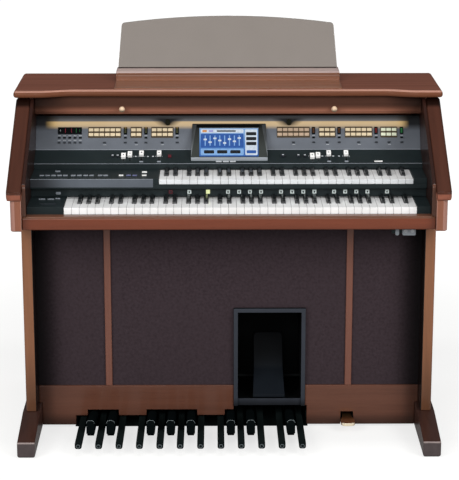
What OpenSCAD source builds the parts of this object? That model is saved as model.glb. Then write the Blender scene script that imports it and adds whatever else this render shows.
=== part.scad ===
// Electronic console organ: two manuals, a short pedalboard, an expression pedal
// and a damper pedal in a polished wooden cabinet with a clear music rest.
// Units are millimetres. +X is the player's right, +Y the back, +Z up.
// The origin is on the floor, below the middle of the overall width and depth.

/* [Cabinet] */
// Overall width, across the top board
overall_width = 1334; // [1320:1:1350]
// Overall depth, from the front of the feet to the back of the top board
overall_depth = 737; // [730:1:745]
// Height of the top board's upper face
top_height = 1054; // [1050:1:1060]
// Thickness of the top board
top_thickness = 22; // [18:1:26]
// Clear width between the two cheeks
inner_width = 1208; // [1206:1:1212]
// Thickness of a cheek
cheek_thickness = 46; // [40:1:52]
// Thickness of a side panel, the leg below the cheek
leg_thickness = 33; // [28:1:36]
// Height of the underside of the key bed
bed_height = 694; // [690:1:700]
// How far the legs stand behind the front of the feet
leg_setback = 193; // [180:1:200]
// Width of a foot
foot_width = 54; // [50:1:60]
// Height of a foot at its front end
foot_nose_height = 49; // [44:1:55]
// Height of a foot under the leg
foot_heel_height = 80; // [76:1:84]

/* [Arms] */
// Thickness of the inner board of a cheek, beside the cap
lining_thickness = 11; // [9:1:13]
// Width of the sloping cap on a cheek
cap_width = 45; // [42:1:48]
// Thickness of the sloping cap
cap_thickness = 26; // [22:1:28]
// Slope of the cap, in degrees
cap_slope = 30; // [29:0.5:31]
// How far the front of the cheek stands behind the front of the feet
cheek_setback = 59; // [56:1:64]
// Height of the cheek at its front, below the cap
cheek_front_height = 788; // [784:1:792]

/* [Keys] */
// Width that one white key takes up
key_pitch = 23.5; // [23.4:0.1:23.6]
// Number of white keys on the lower manual, from E up to G
lower_white_count = 45; // [45:1:45]
// Number of white keys on the upper manual, from C up to G
upper_white_count = 33; // [33:1:33]
// Right-hand end of both rows of keys, from the middle
keys_right = 563; // [560:0.5:564]
// How far the lower keys stand behind the front of the feet
lower_setback = 115; // [113:1:117]
// How far the upper keys stand behind the front of the feet
upper_setback = 229; // [227:1:231]
// Height of the playing face of the lower white keys
lower_key_height = 754; // [753:1:755]
// Height of the playing face of the upper white keys
upper_key_height = 813; // [812:1:814]
// Length of a white key in front of the black keys
key_head = 50; // [46:1:52]
// Width of a black key at its foot
black_width = 11.5; // [10:0.5:12]
// How far a black key stands above the white keys
black_rise = 11.5; // [10:0.5:12]

/* [Pedals] */
// Spacing of the natural pedals
pedal_pitch = 62; // [61:0.5:63]
// Middle of the lowest pedal, measured along the width
pedal_first = -459; // [-462:1:-456]
// Width of a natural pedal
natural_width = 21; // [20:1:23]
// Width of the raised block of a sharp pedal
sharp_width = 26; // [24:1:28]
// Height of a natural pedal's tip
tip_height = 42; // [40:1:44]
// Height of a sharp pedal at its front
sharp_height = 77; // [74:1:80]
// Radius of the rod that the pedals turn on
rod_radius = 4; // [3:0.5:5]
// Radial clearance between a turning piece and its pin
pin_clearance = 0.05; // [0.02:0.01:0.1]

/* [Music rest] */
// Width of the ledge that carries the music rest
ledge_width = 712; // [700:1:724]
// Height of the ledge
ledge_height = 32; // [28:1:36]
// Height of the clear panel along its slope, at the middle
rest_height = 170; // [165:1:172]
// How far the clear panel leans back, in degrees
rest_lean = 20; // [18:1:21]

/* [Hidden] */
$fn = 48;
ARC_STEPS = 6;
// How far a shape that trims another reaches past it
REACH = 1;

front = -overall_depth / 2;
inner_half = inner_width / 2;
leg_inner = inner_half - 5;
underside = top_height - top_thickness;
cabinet_back = front + 727;

// Note names of the pedals, from the left
PEDAL_NOTES = [
    "c2", "cs2", "d2", "ds2", "e2", "f2", "fs2", "g2", "gs2", "a2", "as2", "b2",
    "c3", "cs3", "d3", "ds3", "e3", "f3", "fs3", "g3"
];
// Places of those pedals, counted in natural pedals from the left
PEDAL_PLACES = [0, 0.5, 1, 1.5, 2, 3, 3.5, 4, 4.5, 5, 5.5, 6, 7, 7.5, 8, 8.5, 9, 10, 10.5, 11];

// Colours of the finishes
WOOD = "#6b3a2b";
CLOTH = "#3a2e33";
BLACK = "#1c2122";
SLATE = "#5c5f68";
IVORY = "#f2f2ee";
BRASS = "#c9a456";
SMOKE = "#938b86";

// Kick rail, grille and what stands in their plane
kick_front = front + 271;
kick_thickness = 18;
kick_back = kick_front + kick_thickness;
kick_bottom = 6;
kick_top = 137;
natural_notch = 37;
sharp_notch = 56;
mullion_inner = 366;
mullion_width = 21;

// Opening of the expression pedal's box, seen from the front
box_left = 16;
box_right = 241;
box_bottom = 69;
box_top = 391;
box_frame = 13;
box_wall = 6;
box_depth = 200;
box_face = kick_front - 5;
sill_top = 92;
sill_setback = 7;

// Expression pedal, with a knee between its wide heel and its steeper toe
shoe_x = 127;
shoe_heel_width = 102;
shoe_toe_width = 92;
shoe_thickness = 10;
shoe_heel = [kick_front - 2, 105];
shoe_knee = [kick_front + 75, 171];
shoe_toe = [kick_front + 142, 270];
shoe_pivot = shoe_knee + [22, -34];
shoe_pin_radius = 5;
shoe_hub_radius = 13;

// Damper pedal
damper_x = 375;
damper_pivot = [kick_front + 84, 32];
damper_tip = front + 200;
damper_width = 28;
damper_tip_width = 43;
damper_slot = [damper_x - 20, damper_x + 20, 48];

// Pedalboard
pedal_tip = front + 13;
sharp_front = front + 120;
pedal_pivot = [front + 535, 22.5];
pedal_rear = pedal_pivot[0] + 18;
lever_bottom = 14;
lever_top = 31;
frame_left = -486;
frame_right = 251;
frame_wall = 6;

// Decks above the key bed
bed_thickness = 20;
key_thickness = 20;
upper_key_thickness = 14;
strip_front = front + 246;
strip_thickness = 19;
deck_front = front + 227;
slider_front = [front + 360, 833];
slider_back = [front + 428, 863];
panel_top = [front + 486, 961];
panel_thickness = 12;

// Offset of each black key from the joint above a white key, C to B
BLACK_AFTER = [-2, 2, undef, -3, 0, 3, undef];
E_NOTE = 2;
C_NOTE = 0;
key_gap = 0.8;

function unit(v) = v / norm(v);

// Points of a round corner at b, between a and c
function corner(a, b, c, r) =
    let (u = unit(a - b), v = unit(c - b), half = acos(u * v) / 2)
    let (centre = b + unit(u + v) * r / sin(half), reach = r / tan(half))
    let (from = b + u * reach - centre, to = b + v * reach - centre)
    let (start = atan2(from.y, from.x), turn = atan2(to.y, to.x) - start)
    let (sweep = turn > 180 ? turn - 360 : turn < -180 ? turn + 360 : turn)
    [for (i = [0:ARC_STEPS])
        let (a = start + sweep * i / ARC_STEPS)
            centre + r * [cos(a), sin(a)]];

// Outline with round corners from points [x, y] or [x, y, radius]
function rounded(points) =
    let (n = len(points), flat = [for (p = points) [p[0], p[1]]])
    [for (i = [0:n - 1])
        each (len(points[i]) == 3
            ? corner(flat[(i + n - 1) % n], flat[i], flat[(i + 1) % n], points[i][2])
            : [flat[i]])];

// Smooth step from 0 to 1
function ease(t) = t <= 0 ? 0 : t >= 1 ? 1 : t * t * (3 - 2 * t);

function pedal_x(place) = pedal_first + pedal_pitch * place;

// Carries a side view, drawn as [y, z], across the width
module across(from, to) {
    translate([from, 0, 0])
        rotate([90, 0, 90])
            linear_extrude(to - from)
                children();
}

// Carries a front view, drawn as [x, z], from front to back
module through(from, to) {
    translate([0, to, 0])
        rotate([90, 0, 0])
            linear_extrude(to - from)
                children();
}

// Carries a plan view, drawn as [x, y], from one height to another
module upright(from, to) {
    translate([0, 0, from])
        linear_extrude(to - from)
            children();
}

// Places a right-hand piece on the given side, 1 or -1
module on_side(side) {
    mirror([side < 0 ? 1 : 0, 0, 0])
        children();
}

module on_both_sides() {
    children();
    mirror([1, 0, 0])
        children();
}

module side_panel(side) {
    color(WOOD)
        on_side(side)
            upright(foot_heel_height, bed_height)
                polygon(rounded([
                    [leg_inner, front + leg_setback, 3],
                    [leg_inner + leg_thickness, front + leg_setback, 6],
                    [leg_inner + leg_thickness, cabinet_back],
                    [leg_inner, cabinet_back]
                ]));
}

cheek_front = front + cheek_setback;
cheek_joint = inner_half + lining_thickness;
cap_end = front + 427;
cap_upright = cap_thickness / cos(cap_slope);

slip_front = front + 79;
slip_back = front + lower_setback - 2;
slip_height = 735;

// Height of the seat of the cap at a distance from front to back
function seat_z(y) = cheek_front_height + (y - cheek_front) * tan(cap_slope);

// The side view gives the outer block its slope, and the plan its round front corner
module cheek_block() {
    outer = inner_half + cheek_thickness;
    intersection() {
        across(cheek_joint - REACH, outer + REACH)
            polygon(rounded([
                [cheek_front, bed_height, 6],
                [cabinet_back + REACH, bed_height],
                [cabinet_back + REACH, underside],
                [cap_end, underside],
                [cap_end, seat_z(cap_end)],
                [cheek_front, cheek_front_height]
            ]));
        upright(bed_height - REACH, underside + REACH)
            polygon(rounded([
                [cheek_joint, cheek_front, 3],
                [outer, cheek_front, 20],
                [outer, cabinet_back],
                [cheek_joint, cabinet_back]
            ]));
    }
}

lining_front = slip_front + 3;
lining_drop = 3;

// The inner board stands on the end of the key slip, and its nose is round
module cheek_lining() {
    top = cap_upright - lining_drop;
    across(inner_half, cheek_joint)
        polygon(rounded([
            [lining_front, slip_height],
            [slip_back, slip_height],
            [slip_back, bed_height],
            [cabinet_back, bed_height],
            [cabinet_back, underside],
            [cap_end, underside],
            [cap_end, seat_z(cap_end) + top],
            [lining_front, seat_z(lining_front) + top, 16]
        ]));
}

module cheek(side) {
    color(WOOD)
        on_side(side) {
            cheek_block();
            cheek_lining();
        }
}

cap_nose = 8;

// The side view and the plan give a cap its round nose, and its section the round long edges
module arm_cap(side) {
    outer = cheek_joint + cap_width;
    nose_front = cheek_front - cap_nose;
    color(WOOD)
        on_side(side)
            intersection() {
                across(cheek_joint - REACH, outer + REACH)
                    polygon(rounded([
                        [nose_front, seat_z(nose_front), 8],
                        [cap_end, seat_z(cap_end)],
                        [cap_end, seat_z(cap_end) + cap_upright],
                        [nose_front, seat_z(nose_front) + cap_upright, 14]
                    ]));
                upright(bed_height, underside + REACH)
                    polygon(rounded([
                        [cheek_joint, nose_front, 3],
                        [outer, nose_front, 18],
                        [outer, cap_end + REACH],
                        [cheek_joint, cap_end + REACH]
                    ]));
                translate([0, cheek_front, cheek_front_height])
                    rotate([cap_slope, 0, 0])
                        through(-overall_depth / 4, overall_depth)
                            polygon(rounded([
                                [cheek_joint, 0], [outer, 0, 7],
                                [outer, cap_thickness, 10], [cheek_joint, cap_thickness, 6]
                            ]));
            }
}

foot_inner = leg_inner - 10;

module foot(side) {
    color(WOOD)
        on_side(side)
            intersection() {
                across(foot_inner - REACH, foot_inner + foot_width + REACH)
                    polygon(rounded([
                        [front, 0, 8],
                        [cabinet_back, 0, 4],
                        [cabinet_back, foot_heel_height],
                        [front + leg_setback, foot_heel_height],
                        [front, foot_nose_height, 5]
                    ]));
                through(front - REACH, cabinet_back + REACH)
                    polygon(rounded([
                        [foot_inner, 0, 9],
                        [foot_inner + foot_width, 0, 9],
                        [foot_inner + foot_width, foot_heel_height + REACH],
                        [foot_inner, foot_heel_height + REACH]
                    ]));
            }
}

// Front edge of the top board, which comes forward at both ends
board_end_front = front + 403;
board_bow = 22;
bow_start = 490;
bow_length = 100;
BOW_STEPS = 8;

board_corner = 12;
edge_top = 10;
edge_bottom = 8;
EDGE_STEP = 30;

function board_front(x) = board_end_front + board_bow * (1 - ease((abs(x) - bow_start) / bow_length));

// Plan of the top board, drawn in all round by the given distance
function board_outline(inset) =
    let (half = overall_width / 2 - inset, back = -front - inset, r = board_corner - inset)
    let (bow = [for (i = [0:BOW_STEPS]) bow_start + bow_length * i / BOW_STEPS])
    rounded(concat(
        [[-half, back, r], [-half, board_end_front + inset, r]],
        [for (i = [BOW_STEPS:-1:0]) [-bow[i], board_front(bow[i]) + inset]],
        [for (x = bow) [x, board_front(x) + inset]],
        [[half, board_end_front + inset, r], [half, back, r]]
    ));

// Section of the rounded edge, as how far it is drawn in and how high it stands
EDGE_SECTION = concat(
    [for (a = [0:EDGE_STEP:90]) edge_bottom * [1 - sin(a), 1 - cos(a)]],
    [for (a = [0:EDGE_STEP:90]) [edge_top * (1 - cos(a)), top_thickness - edge_top * (1 - sin(a))]]
);

// The plan is lofted through the section of its edge
module top_board() {
    n = len(board_outline(0));
    rings = len(EDGE_SECTION);
    color(WOOD)
        translate([0, 0, underside])
            polyhedron(
                [for (edge = EDGE_SECTION) for (p = board_outline(edge[0])) [p[0], p[1], edge[1]]],
                concat(
                    [[for (i = [0:n - 1]) i]],
                    [[for (i = [n - 1:-1:0]) (rings - 1) * n + i]],
                    [for (k = [0:rings - 2]) for (i = [0:n - 1])
                        [k * n + i, (k + 1) * n + i, (k + 1) * n + (i + 1) % n, k * n + (i + 1) % n]]
                ));
}

back_thickness = 12;
back_bottom = 40;

module back_panel() {
    color(WOOD)
        through(cabinet_back - back_thickness, cabinet_back)
            polygon([
                [-foot_inner, back_bottom], [foot_inner, back_bottom],
                [foot_inner, foot_heel_height], [leg_inner, foot_heel_height],
                [leg_inner, bed_height], [inner_half, bed_height],
                [inner_half, underside], [-inner_half, underside],
                [-inner_half, bed_height], [-leg_inner, bed_height],
                [-leg_inner, foot_heel_height], [-foot_inner, foot_heel_height]
            ]);
}

rail_front = front + 437;
rail_thickness = 20;
rail_bottom = 974;
rail_swell = 9;
knob_spacing = 662;
knob_height = 993;
knob_seat = 9;

// The rail swells forward to a flat band that the knobs sit on
module cover_rail() {
    color(WOOD)
        across(-inner_half, inner_half)
            polygon(rounded([
                [rail_front + rail_swell, rail_bottom, 6],
                [rail_front + rail_thickness, rail_bottom, 4],
                [rail_front + rail_thickness, underside],
                [rail_front + rail_swell, underside],
                [rail_front, knob_height + knob_seat, 30],
                [rail_front, knob_height - knob_seat, 10]
            ]));
}

module cover_knobs() {
    color(BRASS)
        for (side = [-1, 1])
            translate([side * knob_spacing / 2, rail_front, knob_height])
                rotate([90, 0, 0])
                    rotate_extrude()
                        polygon(concat([[0, 0], [7, 0], [5, 3], [5, 7]],
                            [for (a = [-30:15:90]) [9.2 * cos(a), 14 + 9 * sin(a)]]));
}

shelf_front = front + 434.5;
shelf_thickness = 4;
ledge_front = front + 572;
ledge_depth = 92;
rest_base = [front + 640, top_height + 20];
rest_thickness = 5;
rest_bottom_half = 353;
rest_top_half = 341;
rest_arch = 23;

module rest_sheet() {
    ends = rest_height - rest_arch + 12;
    arch = [for (i = [-6:6]) [rest_top_half * i / 6, ends + rest_arch * (1 - pow(i / 6, 2))]];
    translate([0, rest_base[0], rest_base[1]])
        rotate([90 - rest_lean, 0, 0])
            linear_extrude(rest_thickness)
                polygon(concat([[-rest_bottom_half, 0], [rest_bottom_half, 0]],
                    [for (i = [12:-1:0]) arch[i]]));
}

// The ledge stands at the back of a thin shelf that lies on the top board
module music_ledge() {
    color(WOOD)
        difference() {
            across(-ledge_width / 2, ledge_width / 2)
                polygon(rounded([
                    [shelf_front, top_height],
                    [ledge_front + ledge_depth, top_height],
                    [ledge_front + ledge_depth, top_height + ledge_height, 6],
                    [ledge_front, top_height + ledge_height, 16],
                    [ledge_front, top_height + shelf_thickness, 3],
                    [shelf_front, top_height + shelf_thickness, 2]
                ]));
            rest_sheet();
        }
}

module music_rest() {
    color(SMOKE, 0.6)
        rest_sheet();
}

keys_front = front + lower_setback;

module key_slip() {
    color(WOOD)
        across(-cheek_joint, cheek_joint)
            polygon(rounded([
                [slip_front, bed_height, 5],
                [slip_back, bed_height],
                [slip_back, slip_height, 2],
                [slip_front, slip_height, 9]
            ]));
}

module key_bed() {
    color(BLACK) {
        translate([-inner_half, slip_back, bed_height])
            cube([inner_width, cabinet_back - back_thickness - slip_back, bed_thickness]);
        for (y = [keys_front + 22, keys_front + 112])
            translate([-inner_half + 110, y, bed_height + bed_thickness])
                cube([keys_right + inner_half - 112, 18,
                    lower_key_height - key_thickness - bed_height - bed_thickness]);
    }
}

cloth_front = kick_front + 6;
cloth_back = kick_back;
mullion_outer = mullion_inner + mullion_width;

module grille_panels() {
    color(CLOTH) {
        on_both_sides()
            through(cloth_front, cloth_back)
                polygon([[mullion_outer, kick_top], [leg_inner, kick_top],
                    [leg_inner, bed_height], [mullion_outer, bed_height]]);
        through(cloth_front, cloth_back)
            polygon([
                [-mullion_inner, kick_top], [box_left, kick_top], [box_left, box_top],
                [box_right, box_top], [box_right, kick_top], [mullion_inner, kick_top],
                [mullion_inner, bed_height], [-mullion_inner, bed_height]
            ]);
    }
}

module mullions() {
    color(WOOD)
        on_both_sides()
            upright(kick_top, bed_height)
                polygon(rounded([
                    [mullion_inner, kick_front, 3], [mullion_outer, kick_front, 3],
                    [mullion_outer, kick_back], [mullion_inner, kick_back]
                ]));
}

// Left ends of the raised notches over the sharps, as places of first and last sharp
SHARP_GROUPS = [[0.5, 1.5], [3.5, 5.5]];
notch_left = frame_left + 3;
notch_margin = 18;

module kick_rail() {
    color(WOOD) {
        difference() {
            through(kick_front, kick_back)
                polygon([
                    [-foot_inner, kick_bottom], [box_left, kick_bottom],
                    [box_left, kick_top], [-leg_inner, kick_top],
                    [-leg_inner, foot_heel_height], [-foot_inner, foot_heel_height]
                ]);
            through(kick_front - 1, kick_back + 1) {
                polygon([[notch_left, 0], [box_left + 1, 0],
                    [box_left + 1, natural_notch], [notch_left, natural_notch]]);
                for (group = SHARP_GROUPS)
                    translate([pedal_x(group[0]) - notch_margin, 0])
                        square([pedal_x(group[1]) - pedal_x(group[0]) + 2 * notch_margin, sharp_notch]);
                translate([pedal_x(7.5) - notch_margin, 0])
                    square([2 * notch_margin, sharp_notch]);
            }
        }
        through(kick_front, kick_back)
            polygon([
                [box_right + 6, kick_bottom], [damper_slot[0], kick_bottom],
                [damper_slot[0], damper_slot[2]], [damper_slot[1], damper_slot[2]],
                [damper_slot[1], kick_bottom], [foot_inner, kick_bottom],
                [foot_inner, foot_heel_height], [leg_inner, foot_heel_height],
                [leg_inner, kick_top], [box_right, kick_top],
                [box_right, box_bottom], [box_right + 6, box_bottom]
            ]);
    }
}

module expression_box() {
    inner_left = box_left + box_frame;
    inner_right = box_right - box_frame;
    color("#3a3c42") {
        difference() {
            translate([box_left, box_face, box_bottom])
                cube([box_right - box_left, kick_back - box_face, box_top - box_bottom]);
            translate([inner_left, box_face - REACH, sill_top])
                cube([inner_right - inner_left, kick_back - box_face + 2 * REACH,
                    box_top - box_frame - sill_top]);
            translate([inner_left, box_face - REACH, box_bottom - REACH])
                cube([inner_right - inner_left, sill_setback + REACH, sill_top - box_bottom + 2 * REACH]);
        }
        difference() {
            translate([inner_left - box_wall, kick_back, sill_top - box_wall])
                cube([inner_right - inner_left + 2 * box_wall, box_depth,
                    box_top - box_frame - sill_top + 2 * box_wall]);
            translate([inner_left, kick_back - 1, sill_top])
                cube([inner_right - inner_left, box_depth + 1 - box_wall, box_top - box_frame - sill_top]);
        }
        translate([inner_left, shoe_pivot[0], shoe_pivot[1]])
            rotate([0, 90, 0])
                cylinder(r = shoe_pin_radius, h = inner_right - inner_left);
    }
}

heel_rise = unit(shoe_knee - shoe_heel);
toe_rise = unit(shoe_toe - shoe_knee);
shoe_lip = 8;

// Step from the upper face of the plate to its underside, square to a slope
function beneath(slope) = [slope[1], -slope[0]] * shoe_thickness;

knee_under = shoe_knee + (beneath(heel_rise) + beneath(toe_rise)) / 2;
heel_under = [knee_under[0] - (knee_under[1] - shoe_heel[1] + shoe_lip) * heel_rise[0] / heel_rise[1],
    shoe_heel[1] - shoe_lip];

// The side view gives the plate its knee, and the front view its wider heel
module shoe_plate() {
    intersection() {
        across(-shoe_heel_width, shoe_heel_width)
            polygon(rounded([
                [shoe_heel[0], shoe_heel[1] - shoe_lip, 2],
                [shoe_heel[0], shoe_heel[1], 4],
                [shoe_knee[0], shoe_knee[1], 60],
                shoe_toe,
                shoe_toe + beneath(toe_rise),
                [knee_under[0], knee_under[1], 50],
                heel_under
            ]));
        through(kick_front - 20, kick_front + box_depth)
            polygon(rounded([
                [-shoe_heel_width / 2, shoe_heel[1] - 2 * shoe_lip],
                [shoe_heel_width / 2, shoe_heel[1] - 2 * shoe_lip],
                [shoe_toe_width / 2, shoe_knee[1], 80],
                [shoe_toe_width / 2, shoe_toe[1] - 2, 12],
                [-shoe_toe_width / 2, shoe_toe[1] - 2, 12],
                [-shoe_toe_width / 2, shoe_knee[1], 80]
            ]));
    }
}

ear_x = 32;
ear_width = 10;

module expression_pedal() {
    ear_root = 3 / shoe_thickness;
    color("#20252d")
        translate([shoe_x, 0, 0])
            difference() {
                union() {
                    shoe_plate();
                    for (side = [-1, 1])
                        across(side * ear_x - ear_width / 2, side * ear_x + ear_width / 2)
                            polygon([
                                knee_under - heel_rise * 40 - beneath(heel_rise) * ear_root,
                                knee_under - beneath(toe_rise) * ear_root,
                                knee_under + toe_rise * 55 - beneath(toe_rise) * ear_root,
                                shoe_pivot + [shoe_hub_radius - 2, 0],
                                shoe_pivot + [0, 2 - shoe_hub_radius]
                            ]);
                    translate([-ear_x - ear_width / 2, shoe_pivot[0], shoe_pivot[1]])
                        rotate([0, 90, 0])
                            cylinder(r = shoe_hub_radius, h = 2 * ear_x + ear_width);
                }
                translate([-shoe_heel_width, shoe_pivot[0], shoe_pivot[1]])
                    rotate([0, 90, 0])
                        cylinder(r = shoe_pin_radius + pin_clearance, h = 2 * shoe_heel_width);
            }
}

bracket_ear = 6;
bracket_gap = damper_width / 2 + 3;

module damper_bracket() {
    color("silver") {
        translate([damper_x - bracket_gap - bracket_ear, kick_back, damper_slot[2] + 4])
            cube([2 * (bracket_gap + bracket_ear), 5, 36]);
        for (side = [-1, 1])
            translate([damper_x + side * (bracket_gap + bracket_ear / 2) - bracket_ear / 2, kick_back, 20])
                cube([bracket_ear, damper_pivot[0] - kick_back + 12, damper_slot[2] + 20]);
        translate([damper_x - bracket_gap - 1, damper_pivot[0], damper_pivot[1]])
            rotate([0, 90, 0])
                cylinder(r = rod_radius, h = 2 * bracket_gap + 2);
    }
}

damper_thickness = 10;
damper_bottom = 25;

module damper_pedal() {
    color(BRASS)
        difference() {
            union() {
                translate([damper_x, 0, damper_bottom])
                    linear_extrude(damper_thickness)
                        polygon(rounded([
                            [-damper_tip_width / 2, damper_tip, 14],
                            [damper_tip_width / 2, damper_tip, 14],
                            [damper_tip_width / 2, damper_tip + 40, 20],
                            [damper_width / 2, damper_tip + 62, 20],
                            [damper_width / 2, damper_pivot[0]],
                            [-damper_width / 2, damper_pivot[0]],
                            [-damper_width / 2, damper_tip + 62, 20],
                            [-damper_tip_width / 2, damper_tip + 40, 20]
                        ]));
                translate([damper_x - damper_width / 2, damper_pivot[0], damper_pivot[1]])
                    rotate([0, 90, 0])
                        cylinder(r = 9, h = damper_width);
            }
            translate([damper_x - damper_width, damper_pivot[0], damper_pivot[1]])
                rotate([0, 90, 0])
                    cylinder(r = rod_radius + pin_clearance, h = 2 * damper_width);
        }
}

pan_thickness = 3;

module pedal_frame() {
    length = pedal_rear + 12 - kick_front;
    color(BLACK) {
        translate([frame_left, kick_front, 0])
            cube([frame_right - frame_left, length, pan_thickness]);
        for (x = [frame_left, frame_right - frame_wall])
            translate([x, kick_back, 0])
                cube([frame_wall, length - kick_thickness, 40]);
        translate([frame_left, pedal_rear + 6, 0])
            cube([frame_right - frame_left, frame_wall, 40]);
        translate([frame_left, pedal_pivot[0], pedal_pivot[1]])
            rotate([0, 90, 0])
                cylinder(r = rod_radius, h = frame_right - frame_left);
    }
}

// Side view of the lever that every pedal has, from its front to its pivot
module pedal_lever(start, start_bottom, start_top) {
    difference() {
        polygon(rounded([
            [start, start_bottom, 6],
            [kick_front, lever_bottom],
            [pedal_rear, lever_bottom, 5],
            [pedal_rear, lever_top, 5],
            [kick_front, lever_top],
            [start, start_top, 3]
        ]));
        translate(pedal_pivot)
            circle(r = rod_radius + pin_clearance);
    }
}

tip_bottom = tip_height - 19;
lever_drop = atan((tip_bottom - lever_bottom) / (kick_front - pedal_tip));

// The section, carried along the sloping underside, gives a natural its round lower edges
module natural_pedal(x) {
    left = x - natural_width / 2;
    right = x + natural_width / 2;
    ease_off = 0.5;
    color(BLACK)
        intersection() {
            across(left - REACH, right + REACH)
                pedal_lever(pedal_tip, tip_bottom, tip_height);
            translate([0, pedal_tip, tip_bottom - ease_off])
                rotate([-lever_drop, 0, 0])
                    through(-10, pedal_rear - pedal_tip + 10)
                        polygon(rounded([
                            [left - ease_off, 0, 9], [right + ease_off, 0, 9],
                            [right + ease_off, 2 * tip_height], [left - ease_off, 2 * tip_height]
                        ]));
            upright(0, tip_height + REACH)
                polygon(rounded([
                    [left, pedal_tip, 5], [right, pedal_tip, 5],
                    [right, pedal_rear + REACH], [left, pedal_rear + REACH]
                ]));
        }
}

sharp_rear = kick_back + 20;
sharp_drop = 10;
sharp_base = 32;

// A sharp is a lever with a raised, round-topped block in front of the kick rail
module sharp_pedal(x) {
    color(BLACK) {
        across(x - natural_width / 2, x + natural_width / 2)
            pedal_lever(sharp_front + 4, 24, sharp_base + 8);
        intersection() {
            across(x - sharp_width / 2, x + sharp_width / 2)
                polygon([
                    [sharp_front, sharp_base],
                    [sharp_rear, 20],
                    [sharp_rear, sharp_height],
                    [sharp_front, sharp_height]
                ]);
            translate([x, sharp_front - 20, sharp_height + 20 * tan(sharp_drop)])
                rotate([90 + sharp_drop, 0, 180])
                    linear_extrude(260)
                        polygon(rounded([
                            [-sharp_width / 2, -90], [sharp_width / 2, -90],
                            [sharp_width / 2, 0, 10], [-sharp_width / 2, 0, 10]
                        ]));
        }
    }
}

module upper_deck() {
    color(SLATE)
        translate([-inner_half, deck_front, strip_top])
            cube([inner_width, slider_back[0] - deck_front, deck_top - strip_top]);
}

strip_bottom = lower_key_height + 3;
deck_top = upper_key_height - upper_key_thickness;
strip_top = deck_top - 14;

module piston_strip() {
    color(BLACK)
        translate([-inner_half, strip_front, strip_bottom])
            cube([inner_width, strip_thickness, strip_top - strip_bottom]);
}

slider_bottom = upper_key_height + 4;

module slider_strip() {
    color(BLACK)
        across(-inner_half, inner_half)
            polygon([
                [slider_front[0], slider_bottom],
                [slider_back[0], slider_bottom],
                slider_back,
                slider_front
            ]);
}

panel_dir = unit(panel_top - slider_back);
panel_normal = [-panel_dir[1], panel_dir[0]];

module control_panel() {
    color(SLATE)
        across(-inner_half, inner_half)
            polygon([
                slider_back,
                slider_back - [0, slider_back[1] - deck_top],
                slider_back - panel_normal * panel_thickness - [0, slider_back[1] - deck_top - 6],
                panel_top - panel_normal * panel_thickness,
                panel_top
            ]);
}

// Display wedge, which seats on the strip and on the panel
display_foot = front + 373.5;
display_head = 938;
display_bottom_half = 119.5;
display_top_half = 102.5;
display_root_half = 116;
display_x = 3;

strip_rise = (slider_back[1] - slider_front[1]) / (slider_back[0] - slider_front[0]);

function strip_z(y) = slider_front[1] + (y - slider_front[0]) * strip_rise;
function panel_y(z) = slider_back[0] + (z - slider_back[1]) * panel_dir[0] / panel_dir[1];

display_low = [display_foot, strip_z(display_foot) + 10];
display_high = [panel_y(display_head) - 14.5, display_head];
display_dir = unit(display_high - display_low);
display_slope = atan2(display_dir[1], display_dir[0]);

screen_left = -90;
screen_right = 94;
screen_foot = 6;
screen_height = 102;
screen_thickness = 3;

module screen_plate() {
    translate([screen_left, display_low[0], display_low[1]])
        rotate([display_slope, 0, 0])
            translate([0, screen_foot, -screen_thickness])
                cube([screen_right - screen_left, screen_height, screen_thickness]);
}

// Corners of the wedge's side, as half width and place in the side view
DISPLAY_SIDE = [
    [display_bottom_half, display_foot, strip_z(display_foot)],
    [display_bottom_half, slider_back[0], slider_back[1]],
    [display_root_half, panel_y(display_head), display_head],
    [display_top_half, display_high[0], display_high[1]],
    [display_bottom_half, display_low[0], display_low[1]]
];

// The sides of the wedge flare from its face to the panel
module display_wedge() {
    polyhedron(
        [for (side = [-1, 1]) for (c = DISPLAY_SIDE) [display_x + side * c[0], c[1], c[2]]],
        [
            [0, 4, 1], [1, 4, 2], [2, 4, 3], [5, 6, 9], [6, 7, 9], [7, 8, 9],
            [0, 1, 6, 5], [1, 2, 7, 6], [2, 3, 8, 7], [3, 4, 9, 8], [4, 0, 5, 9]
        ]);
}

module display_housing() {
    color("#3f4447")
        difference() {
            display_wedge();
            screen_plate();
        }
}

module display_screen() {
    color("#7fb6d8")
        screen_plate();
}

keys_left_upper = keys_right - upper_white_count * key_pitch;
keys_left_lower = keys_right - lower_white_count * key_pitch;
block_gap = 1;

module upper_end_blocks() {
    block_depth = slider_front[0] + 10 - deck_front;
    block_height = slider_bottom - deck_top;
    color(BLACK) {
        translate([-inner_half, deck_front, deck_top])
            cube([keys_left_upper - block_gap + inner_half, block_depth, block_height]);
        translate([keys_right + block_gap, deck_front, deck_top])
            cube([inner_half - keys_right - block_gap, block_depth, block_height]);
    }
}

module lower_end_blocks() {
    block_depth = strip_front + strip_thickness - slip_back;
    block_bottom = bed_height + bed_thickness;
    color(BLACK) {
        translate([-inner_half, slip_back, block_bottom])
            cube([keys_left_lower - block_gap + inner_half, block_depth, strip_bottom - block_bottom]);
        translate([keys_right + block_gap, slip_back, block_bottom])
            cube([inner_half - keys_right - block_gap, block_depth, strip_bottom - block_bottom]);
    }
}

// How far the black key above white key i cuts into it, on its left or right side
function bite(offset, side) = is_undef(offset) ? 0 : max(0, black_width / 2 + key_gap + side * offset);

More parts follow.
